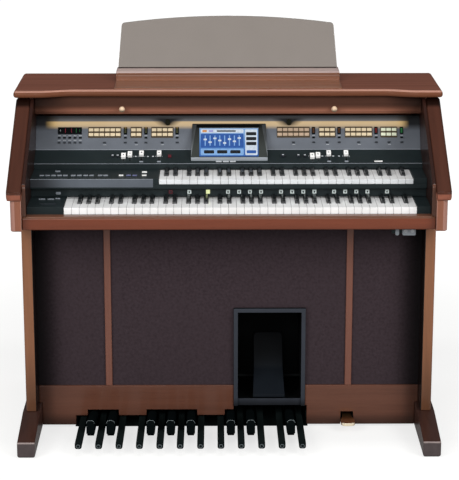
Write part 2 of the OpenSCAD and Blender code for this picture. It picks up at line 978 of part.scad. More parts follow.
// White keys with the notches that the black keys stand in
module white_keys(left, count, first_note, y, top, thickness, length) {
    for (i = [0:count - 1]) {
        note = (first_note + i) % 7;
        left_bite = i == 0 ? 0 : bite(BLACK_AFTER[(note + 6) % 7], 1);
        right_bite = i == count - 1 ? 0 : bite(BLACK_AFTER[note], -1);
        x0 = left + i * key_pitch + key_gap / 2;
        x1 = left + (i + 1) * key_pitch - key_gap / 2;
        translate([0, y, top - thickness])
            linear_extrude(thickness)
                polygon(rounded([
                    [x0, 0, 1.5], [x1, 0, 1.5],
                    [x1, key_head], [x1 - right_bite, key_head],
                    [x1 - right_bite, length], [x0 + left_bite, length],
                    [x0 + left_bite, key_head], [x0, key_head]
                ]));
    }
}

// Black keys, narrower at the top and sloping at the front
module black_keys(left, count, first_note, y, top, thickness, length) {
    foot = black_width / 2;
    crown = foot - 1.2;
    for (i = [0:count - 2]) {
        offset = BLACK_AFTER[(first_note + i) % 7];
        if (!is_undef(offset))
            translate([left + (i + 1) * key_pitch + offset, y + key_head + key_gap, top])
                intersection() {
                    through(0, length)
                        polygon(rounded([
                            [-foot, -thickness], [foot, -thickness], [foot, 0],
                            [crown, black_rise, 1.5], [-crown, black_rise, 1.5], [-foot, 0]
                        ]));
                    across(-black_width, black_width)
                        polygon(rounded([
                            [0, -thickness], [length, -thickness],
                            [length, black_rise], [7, black_rise, 4], [0, 0]
                        ]));
                }
    }
}

upper_keys_front = front + upper_setback;
lower_key_length = strip_front + strip_thickness - keys_front;
upper_key_length = slider_front[0] + 10 - upper_keys_front;

module lower_white_keys() {
    color(IVORY)
        white_keys(keys_left_lower, lower_white_count, E_NOTE, keys_front, lower_key_height,
            key_thickness, lower_key_length);
}

module lower_black_keys() {
    color(BLACK)
        black_keys(keys_left_lower, lower_white_count, E_NOTE, keys_front, lower_key_height,
            key_thickness - 2, strip_front - keys_front - key_head - 3);
}

module upper_white_keys() {
    color(IVORY)
        white_keys(keys_left_upper, upper_white_count, C_NOTE, upper_keys_front, upper_key_height,
            upper_key_thickness, upper_key_length);
}

module upper_black_keys() {
    color(BLACK)
        black_keys(keys_left_upper, upper_white_count, C_NOTE, upper_keys_front, upper_key_height,
            upper_key_thickness, slider_front[0] - upper_keys_front - key_head - 3);
}

// Places a piece drawn flat on the control panel, at a distance up its slope
module on_panel(x, along) {
    translate([x, slider_back[0], slider_back[1]])
        rotate([atan2(panel_dir[1], panel_dir[0]), 0, 0])
            translate([0, along, 0])
                children();
}

// Places a piece drawn flat on the slider strip, at a distance up its slope
module on_strip(x, along) {
    translate([x, slider_front[0], slider_front[1]])
        rotate([atan(strip_rise), 0, 0])
            translate([0, along, 0])
                children();
}

// A block that stands on its middle
module key_cap(size) {
    translate([-size[0] / 2, -size[1] / 2, 0])
        cube(size);
}

// Groups of lit buttons on the panel, as left edge and number of columns
BUTTON_GROUPS = [[-438, 6], [-305, 2], [-240, 4], [155, 6], [287, 3], [369, 5], [481, 3]];
button_pitch = 17;
button_row_pitch = 15.7;
button_size = [14.4, 9.8, 4];
button_row = 50;

// Pistons below the upper keys, as places along the width
PISTONS = [-177, -120, -63, -2, 32, 65, 99, 160, 194, 228, 262, 322, 356, 390, 424, 484];
piston_size = [12, 12, 4];
piston_height = 772;

function group_middle(group) = group[0] + (button_size[0] + (group[1] - 1) * button_pitch) / 2;

module panel_buttons() {
    color("#e8d8b8") {
        for (group = BUTTON_GROUPS)
            for (column = [0:group[1] - 1])
                for (row = [0:1])
                    on_panel(group[0] + column * button_pitch + button_size[0] / 2,
                        button_row + row * button_row_pitch)
                        key_cap(button_size);
        for (x = PISTONS)
            translate([x, strip_front, piston_height])
                rotate([90, 0, 0])
                    key_cap(piston_size);
    }
}

// Lens plates on the panel, as middle along the width and width
METERS = [-323, -258.5, -160.5, 268.5, 349, 465.5, 545.5];
meter_size = [11, 24, 2];
level_window = [-497.5, 63.5];
level_window_size = [75, 23, 2];
meter_row = 63;

// Small switches, in the rows below the lens plates and below the groups of buttons
SWITCH_ROWS = [24, 40];
switch_size = [9, 5, 2.5];
level_pitch = 16.5;

// Switches on the slider strip and on the end blocks beside the keys
STRIP_SWITCHES = [-361, -345, 219, 239];
strip_switch_size = [7, 12, 5];
strip_switch_along = 38;
stick_x = 171;
stick_radius = 7;
stick_height = 6;
record_key_x = -183;
record_key_size = [10, 12, 4];
BLOCK_SWITCHES = [for (i = [0:4]) -571 + 18 * i, -475, -456, -437, -419, -393, -376, -329, -306, -287, -258];
block_switch_size = [14, 7, 3];
block_switch_front = -101;
bend_bar = [-543, -221];
bend_bar_size = [46, 6, 3];

module panel_fittings() {
    color(BLACK) {
        on_panel(level_window[0], level_window[1])
            key_cap(level_window_size);
        for (x = METERS)
            on_panel(x, meter_row)
                key_cap(meter_size);
        for (along = SWITCH_ROWS) {
            for (x = METERS)
                on_panel(x, along)
                    key_cap(switch_size);
            for (i = [-2:2])
                on_panel(level_window[0] + i * level_pitch, along)
                    key_cap(switch_size);
        }
        for (group = BUTTON_GROUPS)
            on_panel(group_middle(group), SWITCH_ROWS[0])
                key_cap(switch_size);
        for (x = STRIP_SWITCHES)
            on_strip(x, strip_switch_along)
                key_cap(strip_switch_size);
        on_strip(record_key_x, strip_switch_along)
            key_cap(record_key_size);
        on_strip(stick_x, strip_switch_along)
            cylinder(r = stick_radius, h = stick_height);
        for (x = BLOCK_SWITCHES)
            translate([x, block_switch_front, slider_bottom])
                key_cap(block_switch_size);
        translate([bend_bar[0], bend_bar[1], strip_bottom])
            key_cap(bend_bar_size);
    }
}

// Slider caps on the sloping strip, as place along the width and up the slope
SLIDER_CAPS = [[-327, 37], [-307, 45], [-271, 49], [-216, 49], [262, 35], [280, 39], [314, 49], [368, 49]];
cap_size = [14, 22, 9];
// White keys near the front of the strip, as place along the width and width
STRIP_KEYS = [[-30, 18], [-8, 18], [14, 18], [467, 26]];
strip_key_along = 10;
strip_key_depth = 5;
strip_key_height = 3;

module slider_caps() {
    color(IVORY) {
        for (cap = SLIDER_CAPS)
            on_strip(cap[0], cap[1])
                key_cap(cap_size);
        for (k = STRIP_KEYS)
            on_strip(k[0], strip_key_along)
                key_cap([k[1], strip_key_depth, strip_key_height]);
    }
}

// Two blocks of the headphone box, as left and right edge
JACK_BLOCKS = [[500, 511], [521, 561]];
jack_drop = 27;
jack_depth = 60;
jack_middle = bed_height - jack_drop / 2;
JACKS = [531, 551];
jack_radius = 3.3;
volume_radius = 11;
volume_width = 10;

// Headphone box below the key bed, with a volume knob on its left end
module jack_box() {
    left = JACK_BLOCKS[0][0];
    right = JACK_BLOCKS[1][1];
    color("#8d9096") {
        difference() {
            for (block = JACK_BLOCKS)
                through(keys_front, keys_front + jack_depth)
                    polygon(rounded([
                        [block[0], bed_height], [block[0], bed_height - jack_drop, 4],
                        [block[1], bed_height - jack_drop, 4], [block[1], bed_height]
                    ]));
            for (x = JACKS)
                translate([x, keys_front + 25, jack_middle])
                    rotate([90, 0, 0])
                        cylinder(r = jack_radius, h = 30);
        }
        translate([left + 1, keys_front + 12, bed_height - jack_drop + 4])
            cube([right - left - 2, jack_depth - 12, jack_drop - 4]);
        translate([left - volume_width, keys_front + volume_radius + 4, jack_middle])
            rotate([0, 90, 0])
                cylinder(r = volume_radius, h = volume_width);
    }
}

module pedal(i) {
    place = PEDAL_PLACES[i];
    if (len(PEDAL_NOTES[i]) == 2)
        natural_pedal(pedal_x(place));
    else
        sharp_pedal(pedal_x(place));
}

side_panel(-1);  // left_side_panel
side_panel(1);  // right_side_panel
cheek(-1);  // left_cheek
cheek(1);  // right_cheek
arm_cap(-1);  // left_arm_cap
arm_cap(1);  // right_arm_cap
foot(-1);  // left_foot
foot(1);  // right_foot
top_board();
back_panel();
cover_rail();
cover_knobs();
music_ledge();
music_rest();
key_slip();
key_bed();
grille_panels();
mullions();
kick_rail();
expression_box();
pedal_frame();
damper_bracket();
upper_deck();
piston_strip();
slider_strip();
control_panel();
display_housing();
display_screen();
upper_end_blocks();
lower_end_blocks();
upper_white_keys();
upper_black_keys();
lower_white_keys();
lower_black_keys();
panel_buttons();
panel_fittings();
slider_caps();
jack_box();
expression_pedal();
damper_pedal();
for (i = [0:len(PEDAL_NOTES) - 1])
    pedal(i);
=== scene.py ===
"""Looks of an electronic console organ, built round its packed construction.

The frame gives the boards, keys, pedals and panels at their real size. This script rounds
their edges, adds the small parts of the playing desk, gives each surface its finish and sets
the organ in a plain studio. Sizes are millimetres in the part's own frame.
"""
import logging
import math
from dataclasses import dataclass
from enum import Enum
from typing import Callable, Iterable, Sequence

import bpy
from mathutils import Matrix, Vector

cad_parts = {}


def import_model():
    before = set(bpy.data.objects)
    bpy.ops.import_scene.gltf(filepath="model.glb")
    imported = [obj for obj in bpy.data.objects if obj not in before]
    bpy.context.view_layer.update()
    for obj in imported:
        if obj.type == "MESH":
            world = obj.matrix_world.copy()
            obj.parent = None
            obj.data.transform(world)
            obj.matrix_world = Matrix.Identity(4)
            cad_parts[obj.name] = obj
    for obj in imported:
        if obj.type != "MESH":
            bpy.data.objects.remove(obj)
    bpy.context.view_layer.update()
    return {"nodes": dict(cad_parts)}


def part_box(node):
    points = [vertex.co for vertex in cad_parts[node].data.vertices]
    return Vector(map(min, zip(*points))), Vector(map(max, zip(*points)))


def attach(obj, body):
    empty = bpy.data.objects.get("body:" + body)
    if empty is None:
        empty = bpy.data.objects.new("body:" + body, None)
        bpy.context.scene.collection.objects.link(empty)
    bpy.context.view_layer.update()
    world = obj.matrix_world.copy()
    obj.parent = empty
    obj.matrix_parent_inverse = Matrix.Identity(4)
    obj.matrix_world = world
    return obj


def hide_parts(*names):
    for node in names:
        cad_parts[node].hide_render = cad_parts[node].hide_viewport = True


LOG = logging.getLogger("console_organ")
MM = 0.001
INF = math.inf
OPEN = (-INF, INF)
WHITE = (1.0, 1.0, 1.0, 1.0)
MULTIPLY_COLOURS = {"data_type": "RGBA", "blend_type": "MULTIPLY"}
# On a copy of a node, points closer than the gap are merged and creases flatter than the angle are cleared
MERGE_GAP = 0.01
FLAT_ANGLE = math.radians(0.4)
# Edges past the first angle are rounded, and edges past the second stay sharp in the shading
SHARP_ANGLE = math.radians(38)
CREASE_ANGLE = math.radians(42)
# Edges of the sloping faces of the playing desk, as (Y, Z), and half the width between the cheeks
STRIP_FOOT = (-8.5, 833.0)
PANEL_FOOT = (59.5, 863.0)
PANEL_HEAD = (117.5, 961.0)
DESK_HALF = 603.0
SIDES = ("left", "right")

Colour = tuple[float, float, float, float]
Pair = tuple[float, float]
Triple = tuple[float, float, float]
Test = Callable[[Vector, Vector], bool]
Tree = bpy.types.NodeTree
Socket = bpy.types.NodeSocket
Piece = bpy.types.Object


def srgb(code: str) -> Colour:
    """Turns an sRGB hex value to linear colour.

    Args:
        code: Six hex digits.

    Returns:
        Red, green, blue and alpha.
    """
    parts = [int(code[i:i + 2], 16) / 255 for i in (0, 2, 4)]
    linear = [p / 12.92 if p <= 0.04045 else ((p + 0.055) / 1.055) ** 2.4 for p in parts]
    return (*linear, 1.0)


def shade(colour: Colour, share: float) -> Colour:
    """Gives a linear colour at a share of its brightness."""
    return (*(min(1.0, part * share) for part in colour[:3]), 1.0)


def grey(share: float) -> Colour:
    """Gives the linear grey of a share from 0 to 1."""
    return (share, share, share, 1.0)


def set_inputs(tree: Tree, node: bpy.types.Node, inputs: dict) -> None:
    """Sets or links a node's inputs.

    Args:
        tree: Node tree of the material or world.
        node: The node.
        inputs: Socket name or number, to a value or to the socket that feeds it.
    """
    for key, value in inputs.items():
        if isinstance(value, Socket):
            tree.links.new(value, node.inputs[key])
        else:
            node.inputs[key].default_value = value


def add_node(tree: Tree, kind: str, inputs: dict | None = None,
             stops: Sequence[tuple[float, Colour]] = (), **settings: object) -> bpy.types.Node:
    """Adds a shader node with its settings and links.

    Args:
        tree: Node tree of the material or world.
        kind: Node type without its ShaderNode prefix.
        inputs: Socket name or number, to a value or to the socket that feeds it.
        stops: Places and colours of a colour ramp.
        settings: Attributes of the node.

    Returns:
        The new node.
    """
    node = tree.nodes.new("ShaderNode" + kind)
    for name, value in settings.items():
        setattr(node, name, value)
    set_inputs(tree, node, inputs or {})
    for number, (place, colour) in enumerate(stops):
        if number >= len(node.color_ramp.elements):
            node.color_ramp.elements.new(1.0)
        node.color_ramp.elements[number].position = place
        node.color_ramp.elements[number].color = colour
    return node


class Grain(Enum):
    """Way that a veneer's figure runs, as the turn in degrees that brings X onto it."""

    ALONG_X = (0, 0, 0)
    ALONG_Y = (0, 0, 90)
    ALONG_Z = (0, -90, 0)
    ALONG_ARM = (0, -30, 90)


class Stain(Enum):
    """Tone of a board's veneer under the lacquer, or a tone painted on some of its faces for shade, sheen or
    highlights.
    """

    ARM = "8c5543"
    FOOT = "3b241e"
    # The feet's fronts get a painted sheen over the darker rest
    FOOT_FRONT_SHEEN = "4d4343"
    # The feet's upper front edges get a painted highlight
    FOOT_EDGE_HIGHLIGHT = "8d7f7c"
    LID = "714232"
    # The lid's edges and underside get painted shade
    LID_EDGE_SHADE = "6d422e"
    # The lid's upper front rounding gets a painted highlight
    LID_RIM_HIGHLIGHT = "a97d6d"
    RAIL = "9c6753"
    SLIP = "723a26"
    # The slip's upper faces get a painted sheen
    SLIP_TOP_SHEEN = "65402f"
    CHEEK = "8a5742"
    # The cheeks' upright rounded corners get a painted highlight
    CHEEK_EDGE_HIGHLIGHT = "a4786a"
    # The cheeks' inner linings get painted shade, less deep at their front ends
    LINING_SHADE = "2c1813"
    LINING_END_SHADE = "553528"
    LEG = "885a3f"
    # The legs' inner faces get painted shade
    LEG_INSIDE_SHADE = "1c1412"
    MULLION = "764c3f"
    LEDGE = "7a4f3a"
    KICK = "643f31"
    # The ledge's top gets a painted highlight
    LEDGE_TOP_HIGHLIGHT = "c6aea8"


@dataclass(frozen=True)
class Fade:
    """A stretch along an axis, or on both its sides, where a finish deepens to a share of its tone."""

    axis: str
    start: float
    end: float
    share: float
    both_sides: bool = False


@dataclass(frozen=True)
class Finish:
    """A surface finish, whose material is made when it is first asked for."""

    name: str
    colour: str
    roughness: float
    fades: tuple[Fade, ...] = ()
    # Places in the finish's noise, with the share of the colour's brightness there
    tones: tuple[Pair, ...] = ()

    def stops(self) -> list[tuple[float, Colour]]:
        """Gives the colour ramp of the finish's tones."""
        return [(place, shade(srgb(self.colour), share)) for place, share in self.tones]

    def deepen(self, tree: Tree, tone: Socket) -> Socket:
        """Deepens a tone along the finish's fades.

        Args:
            tree: The material's node tree.
            tone: The tone without fades.

        Returns:
            The deepened tone.
        """
        place = add_node(tree, "TexCoord").outputs["Object"]
        parts = add_node(tree, "SeparateXYZ", {"Vector": place})
        for fade in self.fades:
            along = parts.outputs[fade.axis]
            if fade.both_sides:
                along = add_node(tree, "Math", {0: along}, operation="ABSOLUTE").outputs[0]
            depth = add_node(tree, "MapRange", {
                "Value": along, "From Min": fade.start * MM, "From Max": fade.end * MM,
                "To Min": 1.0, "To Max": fade.share,
            }, interpolation_type="SMOOTHSTEP")
            tone = add_node(tree, "Mix", {0: 1.0, 6: tone, 7: depth.outputs["Result"]},
                            **MULTIPLY_COLOURS).outputs[2]
        return tone

    def material(self) -> bpy.types.Material:
        """Gives the finish's material.

        Returns:
            The material, made once.
        """
        made = bpy.data.materials.get(self.name)
        if made is None:
            made = bpy.data.materials.new(self.name)
            made.use_nodes = True
            tree = made.node_tree
            set_inputs(tree, tree.nodes["Principled BSDF"], self.mix(tree))
        return made

    def mix(self, tree: Tree) -> dict[str, object]:
        """Builds the finish's nodes.

        Args:
            tree: The material's node tree.

        Returns:
            Inputs of the material's shader.
        """
        raise NotImplementedError


Patches = tuple[tuple[Finish, Test], ...]


@dataclass(frozen=True)
class Veneer(Finish):
    """Stained mahogany veneer under polished lacquer: quiet streaks, short pores and a clear gloss."""

    tones: tuple[Pair, ...] = ((0.28, 0.84), (0.5, 1.0), (0.74, 1.14))
    grain: Grain = Grain.ALONG_X
    figure: Pair = (420, 22)
    # Real pores are 0.2 mm wide; they are drawn wider, so that the render shows them
    pores: Pair = (34, 1.6)
    pit: Colour = (0.82, 0.79, 0.77, 1.0)
    coat: float = 0.5

    def streaks(self, tree: Tree, size: Pair) -> Socket:
        """Adds noise that is drawn out along the grain.

        Args:
            tree: The material's node tree.
            size: Length and width of one streak.

        Returns:
            The noise, from 0 to 1.
        """
        place = add_node(tree, "TexCoord").outputs["Object"]
        turn = [math.radians(angle) for angle in self.grain.value]
        along = add_node(tree, "Mapping", {
            "Vector": place, "Rotation": turn, "Scale": (size[0] * MM, size[1] * MM, size[1] * MM),
        }, vector_type="TEXTURE")
        noise = add_node(tree, "TexNoise", {
            "Vector": along.outputs["Vector"], "Scale": 1.0, "Detail": 4.0,
            "Roughness": 0.6, "Distortion": 0.3,
        })
        return noise.outputs["Fac"]

    def mix(self, tree: Tree) -> dict[str, object]:
        """Builds the streaks, pores and lacquer.

        Args:
            tree: The material's node tree.

        Returns:
            Inputs of the material's shader.
        """
        figure = self.streaks(tree, self.figure)
        pores = self.streaks(tree, self.pores)
        wood = add_node(tree, "ValToRGB", {"Fac": figure}, stops=self.stops())
        pits = add_node(tree, "ValToRGB", {"Fac": pores}, stops=[(0.3, self.pit), (0.42, WHITE)])
        tone = add_node(tree, "Mix", {0: 1.0, 6: wood.outputs["Color"], 7: pits.outputs["Color"]},
                        **MULTIPLY_COLOURS)
        polish = add_node(tree, "MapRange", {
            "Value": figure, "To Min": self.roughness + 0.08, "To Max": self.roughness - 0.06,
        })
        bump = add_node(tree, "Bump", {"Height": pores, "Strength": 0.08, "Distance": 0.3 * MM})
        return {
            "Base Color": self.deepen(tree, tone.outputs[2]), "Roughness": polish.outputs["Result"],
            "Normal": bump.outputs["Normal"], "Specular IOR Level": 0.05,
            "Coat Weight": self.coat, "Coat IOR": 1.6, "Coat Roughness": 0.17,
        }


@dataclass(frozen=True)
class Cloth(Finish):
    """Woven grille cloth: matt crossing threads, with painted shadow from the legs deepening its tone
    towards both ends.
    """

    # Real threads lie 0.8 mm apart; they are drawn wider, so that the render shows a weave
    thread: float = 3.2
    slub: float = 9.0
    dark: str = "2e2428"

    def mix(self, tree: Tree) -> dict[str, object]:
        """Builds the weave and its sheen.

        Args:
            tree: The material's node tree.

        Returns:
            Inputs of the material's shader.
        """
        place = add_node(tree, "TexCoord").outputs["Object"]
        # A wave of scale 1 repeats every pi / 10 units
        scale = math.pi / 10 / (self.thread * MM)
        warp, weft = (
            add_node(tree, "TexWave", {"Vector": place, "Scale": scale, "Distortion": 0.6, "Detail": 1.0},
                     bands_direction=way).outputs["Fac"]
            for way in ("X", "Z")
        )
        weave = add_node(tree, "Math", {0: warp, 1: weft}, operation="ADD").outputs[0]
        slub = add_node(tree, "TexNoise", {"Vector": place, "Scale": 1 / (self.slub * MM), "Detail": 3.0})
        tone = add_node(tree, "Math", {0: weave, 1: 0.3, 2: slub.outputs["Fac"]}, operation="MULTIPLY_ADD")
        threads = add_node(tree, "ValToRGB", {"Fac": tone.outputs[0]}, stops=[
            (0.4, srgb(self.dark)), (1.0, srgb(self.colour)),
        ])
        bump = add_node(tree, "Bump", {"Height": weave, "Strength": 0.5, "Distance": 0.5 * MM})
        return {
            "Base Color": self.deepen(tree, threads.outputs["Color"]), "Normal": bump.outputs["Normal"],
            "Roughness": self.roughness, "Specular IOR Level": 0.1, "Sheen Weight": 0.08,
        }


@dataclass(frozen=True)
class Plastic(Finish):
    """Moulded plastic: a fine grit, a slightly uneven tone, and its own light where it is lit."""

    tones: tuple[Pair, ...] = ((0.3, 0.92), (0.7, 1.08))
    grit: float = 2.0
    cloud: float = 60.0
    relief: float = 0.06
    specular: float = 0.3
    gloss: float = 0.0
    glow: float = 0.0

    def mix(self, tree: Tree) -> dict[str, object]:
        """Builds the grit, the tone and the glow.

        Args:
            tree: The material's node tree.

        Returns:
            Inputs of the material's shader.
        """
        place = add_node(tree, "TexCoord").outputs["Object"]
        grit, cloud = (
            add_node(tree, "TexNoise", {
                "Vector": place, "Scale": 1 / (size * MM), "Detail": detail,
            }).outputs["Fac"]
            for size, detail in ((self.grit, 3.0), (self.cloud, 2.0))
        )
        tone = add_node(tree, "ValToRGB", {"Fac": cloud}, stops=self.stops()).outputs["Color"]
        satin = add_node(tree, "MapRange", {
            "Value": grit, "To Min": self.roughness - 0.05, "To Max": self.roughness + 0.05,
        })
        bump = add_node(tree, "Bump", {"Height": grit, "Strength": self.relief, "Distance": 0.3 * MM})
        inputs = {
            "Base Color": self.deepen(tree, tone), "Roughness": satin.outputs["Result"],
            "Normal": bump.outputs["Normal"], "Specular IOR Level": self.specular,
            "Coat Weight": self.gloss, "Coat Roughness": 0.08,
        }
        if self.glow:
            inputs |= {"Emission Color": tone, "Emission Strength": self.glow}
        return inputs


@dataclass(frozen=True)
class LitInk(Finish):
    """Translucent segment with a lamp behind it: its own slightly uneven light on a dark, smooth face."""

    tones: tuple[Pair, ...] = ((0.3, 0.88), (0.7, 1.08))
    cloud: float = 7.0
    glow: float = 1.0
    unlit: str = "0b0d10"

    def light(self, tree: Tree) -> Socket:
        """Builds the uneven light.

        Args:
            tree: The material's node tree.

        Returns:
            The light's colour.
        """
        place = add_node(tree, "TexCoord").outputs["Object"]
        cloud = add_node(tree, "TexNoise", {"Vector": place, "Scale": 1 / (self.cloud * MM), "Detail": 2.0})
        light = add_node(tree, "ValToRGB", {"Fac": cloud.outputs["Fac"]}, stops=self.stops())
        return light.outputs["Color"]

    def mix(self, tree: Tree) -> dict[str, object]:
        """Builds the light on the dark face.

        Args:
            tree: The material's node tree.

        Returns:
            Inputs of the material's shader.
        """
        return {
            "Emission Color": self.light(tree), "Emission Strength": self.glow,
            "Base Color": srgb(self.unlit), "Roughness": self.roughness, "Specular IOR Level": 0.06,
        }


@dataclass(frozen=True)
class ScreenGlass(LitInk):
    """Backlit display under clear plastic: a blue field that pales upwards."""

    cloud: float = 38.0
    glow: float = 0.9
    low: float = 853.0
    high: float = 930.0
    middle: str = "4f83c8"
    top: str = "86aede"

    def light(self, tree: Tree) -> Socket:
        """Builds the field.

        Args:
            tree: The material's node tree.

        Returns:
            The field's colour.
        """
        place = add_node(tree, "TexCoord").outputs["Object"]
        height = add_node(tree, "SeparateXYZ", {"Vector": place}).outputs["Z"]
        share = add_node(tree, "MapRange", {
            "Value": height, "From Min": self.low * MM, "From Max": self.high * MM,
        })
        cloud = add_node(tree, "TexNoise", {"Vector": place, "Scale": 1 / (self.cloud * MM), "Detail": 2.0})
        soft = add_node(tree, "Math", {0: cloud.outputs["Fac"], 1: 0.35, 2: share.outputs["Result"]},
                        operation="MULTIPLY_ADD")
        field = add_node(tree, "ValToRGB", {"Fac": soft.outputs[0]}, stops=[
            (0.1, srgb(self.colour)), (0.6, srgb(self.middle)), (1.0, srgb(self.top)),
        ])
        return field.outputs["Color"]


@dataclass(frozen=True)
class LampLitPaint(Plastic):
    """Satin slate paint with the warm band that the panel lamps throw along its upper part, painted in as
    its own glow, and painted shade by the lamp holders and in the upper corners.
    """

    lamp: str = "b9985c"
    half_width: float = 604.0
    # The band, as places up the panel and shares of full light
    band: tuple[Pair, ...] = (
        (68, 0.0), (74, 0.4), (80, 0.85), (87, 1.0), (93, 1.0), (96, 0.06), (114, 0.0),
    )
    # Ends of the row of lamps, from left to right
    lamps: tuple[Pair, ...] = ((-576, 0.0), (-545, 1.0), (545, 1.0), (570, 0.0))
    # Round each lamp holder a gap of painted shade widens upwards: the holder's distance from the middle,
    # how far full dark and full light are from it at one height, that height, the gain in width over height,
    # and shares of dark by height
    holder: float = 191.0
    gap: Pair = (5, 38)
    gap_middle: float = 87.0
    gap_lean: float = 1.2
    gap_heights: tuple[Pair, ...] = ((74, 0.0), (84, 1.0), (101, 1.0), (109, 0.0))
    # The corners past the lamps get painted shade: distances from the middle and heights where that sets in
    corner: tuple[Pair, Pair] = ((530, 566), (62, 84))
    darkest: float = 0.1

    def mix(self, tree: Tree) -> dict[str, object]:
        """Builds the paint, then the painted lamp light and the painted shade on it.

        Args:
            tree: The material's node tree.

        Returns:
            Inputs of the material's shader.
        """
        inputs = super().mix(tree)
        run, rise = (head - foot for head, foot in zip(PANEL_HEAD, PANEL_FOOT))
        length, width = math.hypot(rise, run), 2 * self.half_width
        place = add_node(tree, "TexCoord").outputs["Object"]
        upright = add_node(tree, "Mapping", {
            "Vector": place, "Location": (-self.half_width * MM, PANEL_FOOT[0] * MM, PANEL_FOOT[1] * MM),
            "Rotation": (math.atan2(rise, run), 0.0, 0.0), "Scale": (width * MM, length * MM, length * MM),
        }, vector_type="TEXTURE")
        parts = add_node(tree, "SeparateXYZ", {"Vector": upright.outputs["Vector"]})
        across, up = parts.outputs["X"], parts.outputs["Y"]
        band, reach = (
            add_node(tree, "ValToRGB", {"Fac": up}, stops=[
                (along / length, grey(share)) for along, share in shares
            ])
            for shares in (self.band, self.gap_heights)
        )
        row = add_node(tree, "ValToRGB", {"Fac": across}, stops=[
            ((x + self.half_width) / width, grey(share)) for x, share in self.lamps
        ])
        lamps = add_node(tree, "Math", {0: band.outputs["Color"], 1: row.outputs["Color"]},
                         operation="MULTIPLY")
        side = add_node(tree, "SeparateXYZ", {"Vector": place}).outputs["X"]
        side = add_node(tree, "Math", {0: side}, operation="ABSOLUTE").outputs[0]
        (near, far), (low, high) = self.corner
        outer = add_node(tree, "MapRange", {"Value": side, "From Min": near * MM, "From Max": far * MM})
        upper = add_node(tree, "MapRange", {
            "Value": up, "From Min": low / length, "From Max": high / length,
        })
        corner = add_node(tree, "Math", {0: outer.outputs["Result"], 1: upper.outputs["Result"]},
                          operation="MULTIPLY")
        away = add_node(tree, "Math", {0: side, 1: self.holder * MM}, operation="SUBTRACT").outputs[0]
        away = add_node(tree, "Math", {0: away}, operation="ABSOLUTE").outputs[0]
        cone = add_node(tree, "Math", {0: up, 1: -self.gap_lean * length * MM, 2: away},
                        operation="MULTIPLY_ADD")
        close, clear = (edge - self.gap_lean * self.gap_middle for edge in self.gap)
        beside = add_node(tree, "MapRange", {
            "Value": cone.outputs[0], "From Min": clear * MM, "From Max": close * MM,
        })
        gap = add_node(tree, "Math", {0: beside.outputs["Result"], 1: reach.outputs["Color"]},
                       operation="MULTIPLY")
        lit = add_node(tree, "Math", {0: 1.0, 1: gap.outputs[0]}, operation="SUBTRACT")
        light = add_node(tree, "Math", {0: lamps.outputs[0], 1: lit.outputs[0]}, operation="MULTIPLY")
        dark = add_node(tree, "Math", {0: corner.outputs[0], 1: gap.outputs[0]}, operation="MAXIMUM")
        share = add_node(tree, "MapRange", {"Value": dark.outputs[0], "To Min": 1.0, "To Max": self.darkest})
        tone = add_node(tree, "Mix", {0: 1.0, 6: inputs["Base Color"], 7: share.outputs["Result"]},
                        **MULTIPLY_COLOURS)
        return inputs | {
            "Base Color": tone.outputs[2],
            "Emission Color": srgb(self.lamp), "Emission Strength": light.outputs[0],
        }


@dataclass(frozen=True)
class Metal(Finish):
    """Polished metal with faint hairlines from the wheel."""

    tones: tuple[Pair, ...] = ((0.3, 0.85), (0.7, 1.0))
    hairline: Pair = (24, 1.2)

    def mix(self, tree: Tree) -> dict[str, object]:
        """Builds the metal and its hairlines.

        Args:
            tree: The material's node tree.

        Returns:
            Inputs of the material's shader.
        """
        place = add_node(tree, "TexCoord").outputs["Object"]
        length, width = (size * MM for size in self.hairline)
        along = add_node(tree, "Mapping", {"Vector": place, "Scale": (width, length, width)},
                         vector_type="TEXTURE")
        lines = add_node(tree, "TexNoise", {"Vector": along.outputs["Vector"], "Scale": 1.0, "Detail": 3.0})
        tone = add_node(tree, "ValToRGB", {"Fac": lines.outputs["Fac"]}, stops=self.stops())
        polish = add_node(tree, "MapRange", {
            "Value": lines.outputs["Fac"], "To Min": self.roughness - 0.06, "To Max": self.roughness + 0.1,
        })
        return {"Base Color": tone.outputs["Color"], "Roughness": polish.outputs["Result"], "Metallic": 1.0}


@dataclass(frozen=True)
class SmokedAcrylic(Finish):
    """Cast acrylic with a grey-brown tint: clear, glossy, with a trace of wiping on the surface."""

    tones: tuple[Pair, ...] = ((0.3, 0.97), (0.7, 1.0))
    wiping: float = 70.0

    def mix(self, tree: Tree) -> dict[str, object]:
        """Builds the tint and the wiped surface.

        Args:
            tree: The material's node tree.

        Returns:
            Inputs of the material's shader.
        """
        place = add_node(tree, "TexCoord").outputs["Object"]
        wiping = add_node(tree, "TexNoise", {
            "Vector": place, "Scale": 1 / (self.wiping * MM), "Detail": 3.0,
        })
        tint = add_node(tree, "ValToRGB", {"Fac": wiping.outputs["Fac"]}, stops=self.stops())
        gloss = add_node(tree, "MapRange", {
            "Value": wiping.outputs["Fac"], "To Min": self.roughness, "To Max": self.roughness + 0.04,
        })
        return {
            "Base Color": tint.outputs["Color"], "Roughness": gloss.outputs["Result"],
            "Transmission Weight": 1.0, "IOR": 1.49,
        }


# The cloth gets painted shadow from the legs towards both ends
GRILLE_CLOTH = Cloth("woven_grille_cloth", "3f3439", 0.85, fades=(Fade("X", 508, 596, 0.12, True),))
BRASS = Metal("aged_brass", "c79a6c", 0.36)
# The damper's tip front is painted pale: a painted highlight
BRASS_TIP_HIGHLIGHT = Plastic("painted_highlight_brass_tip", "f4e6ca", 0.25, specular=0.6, gloss=0.5)
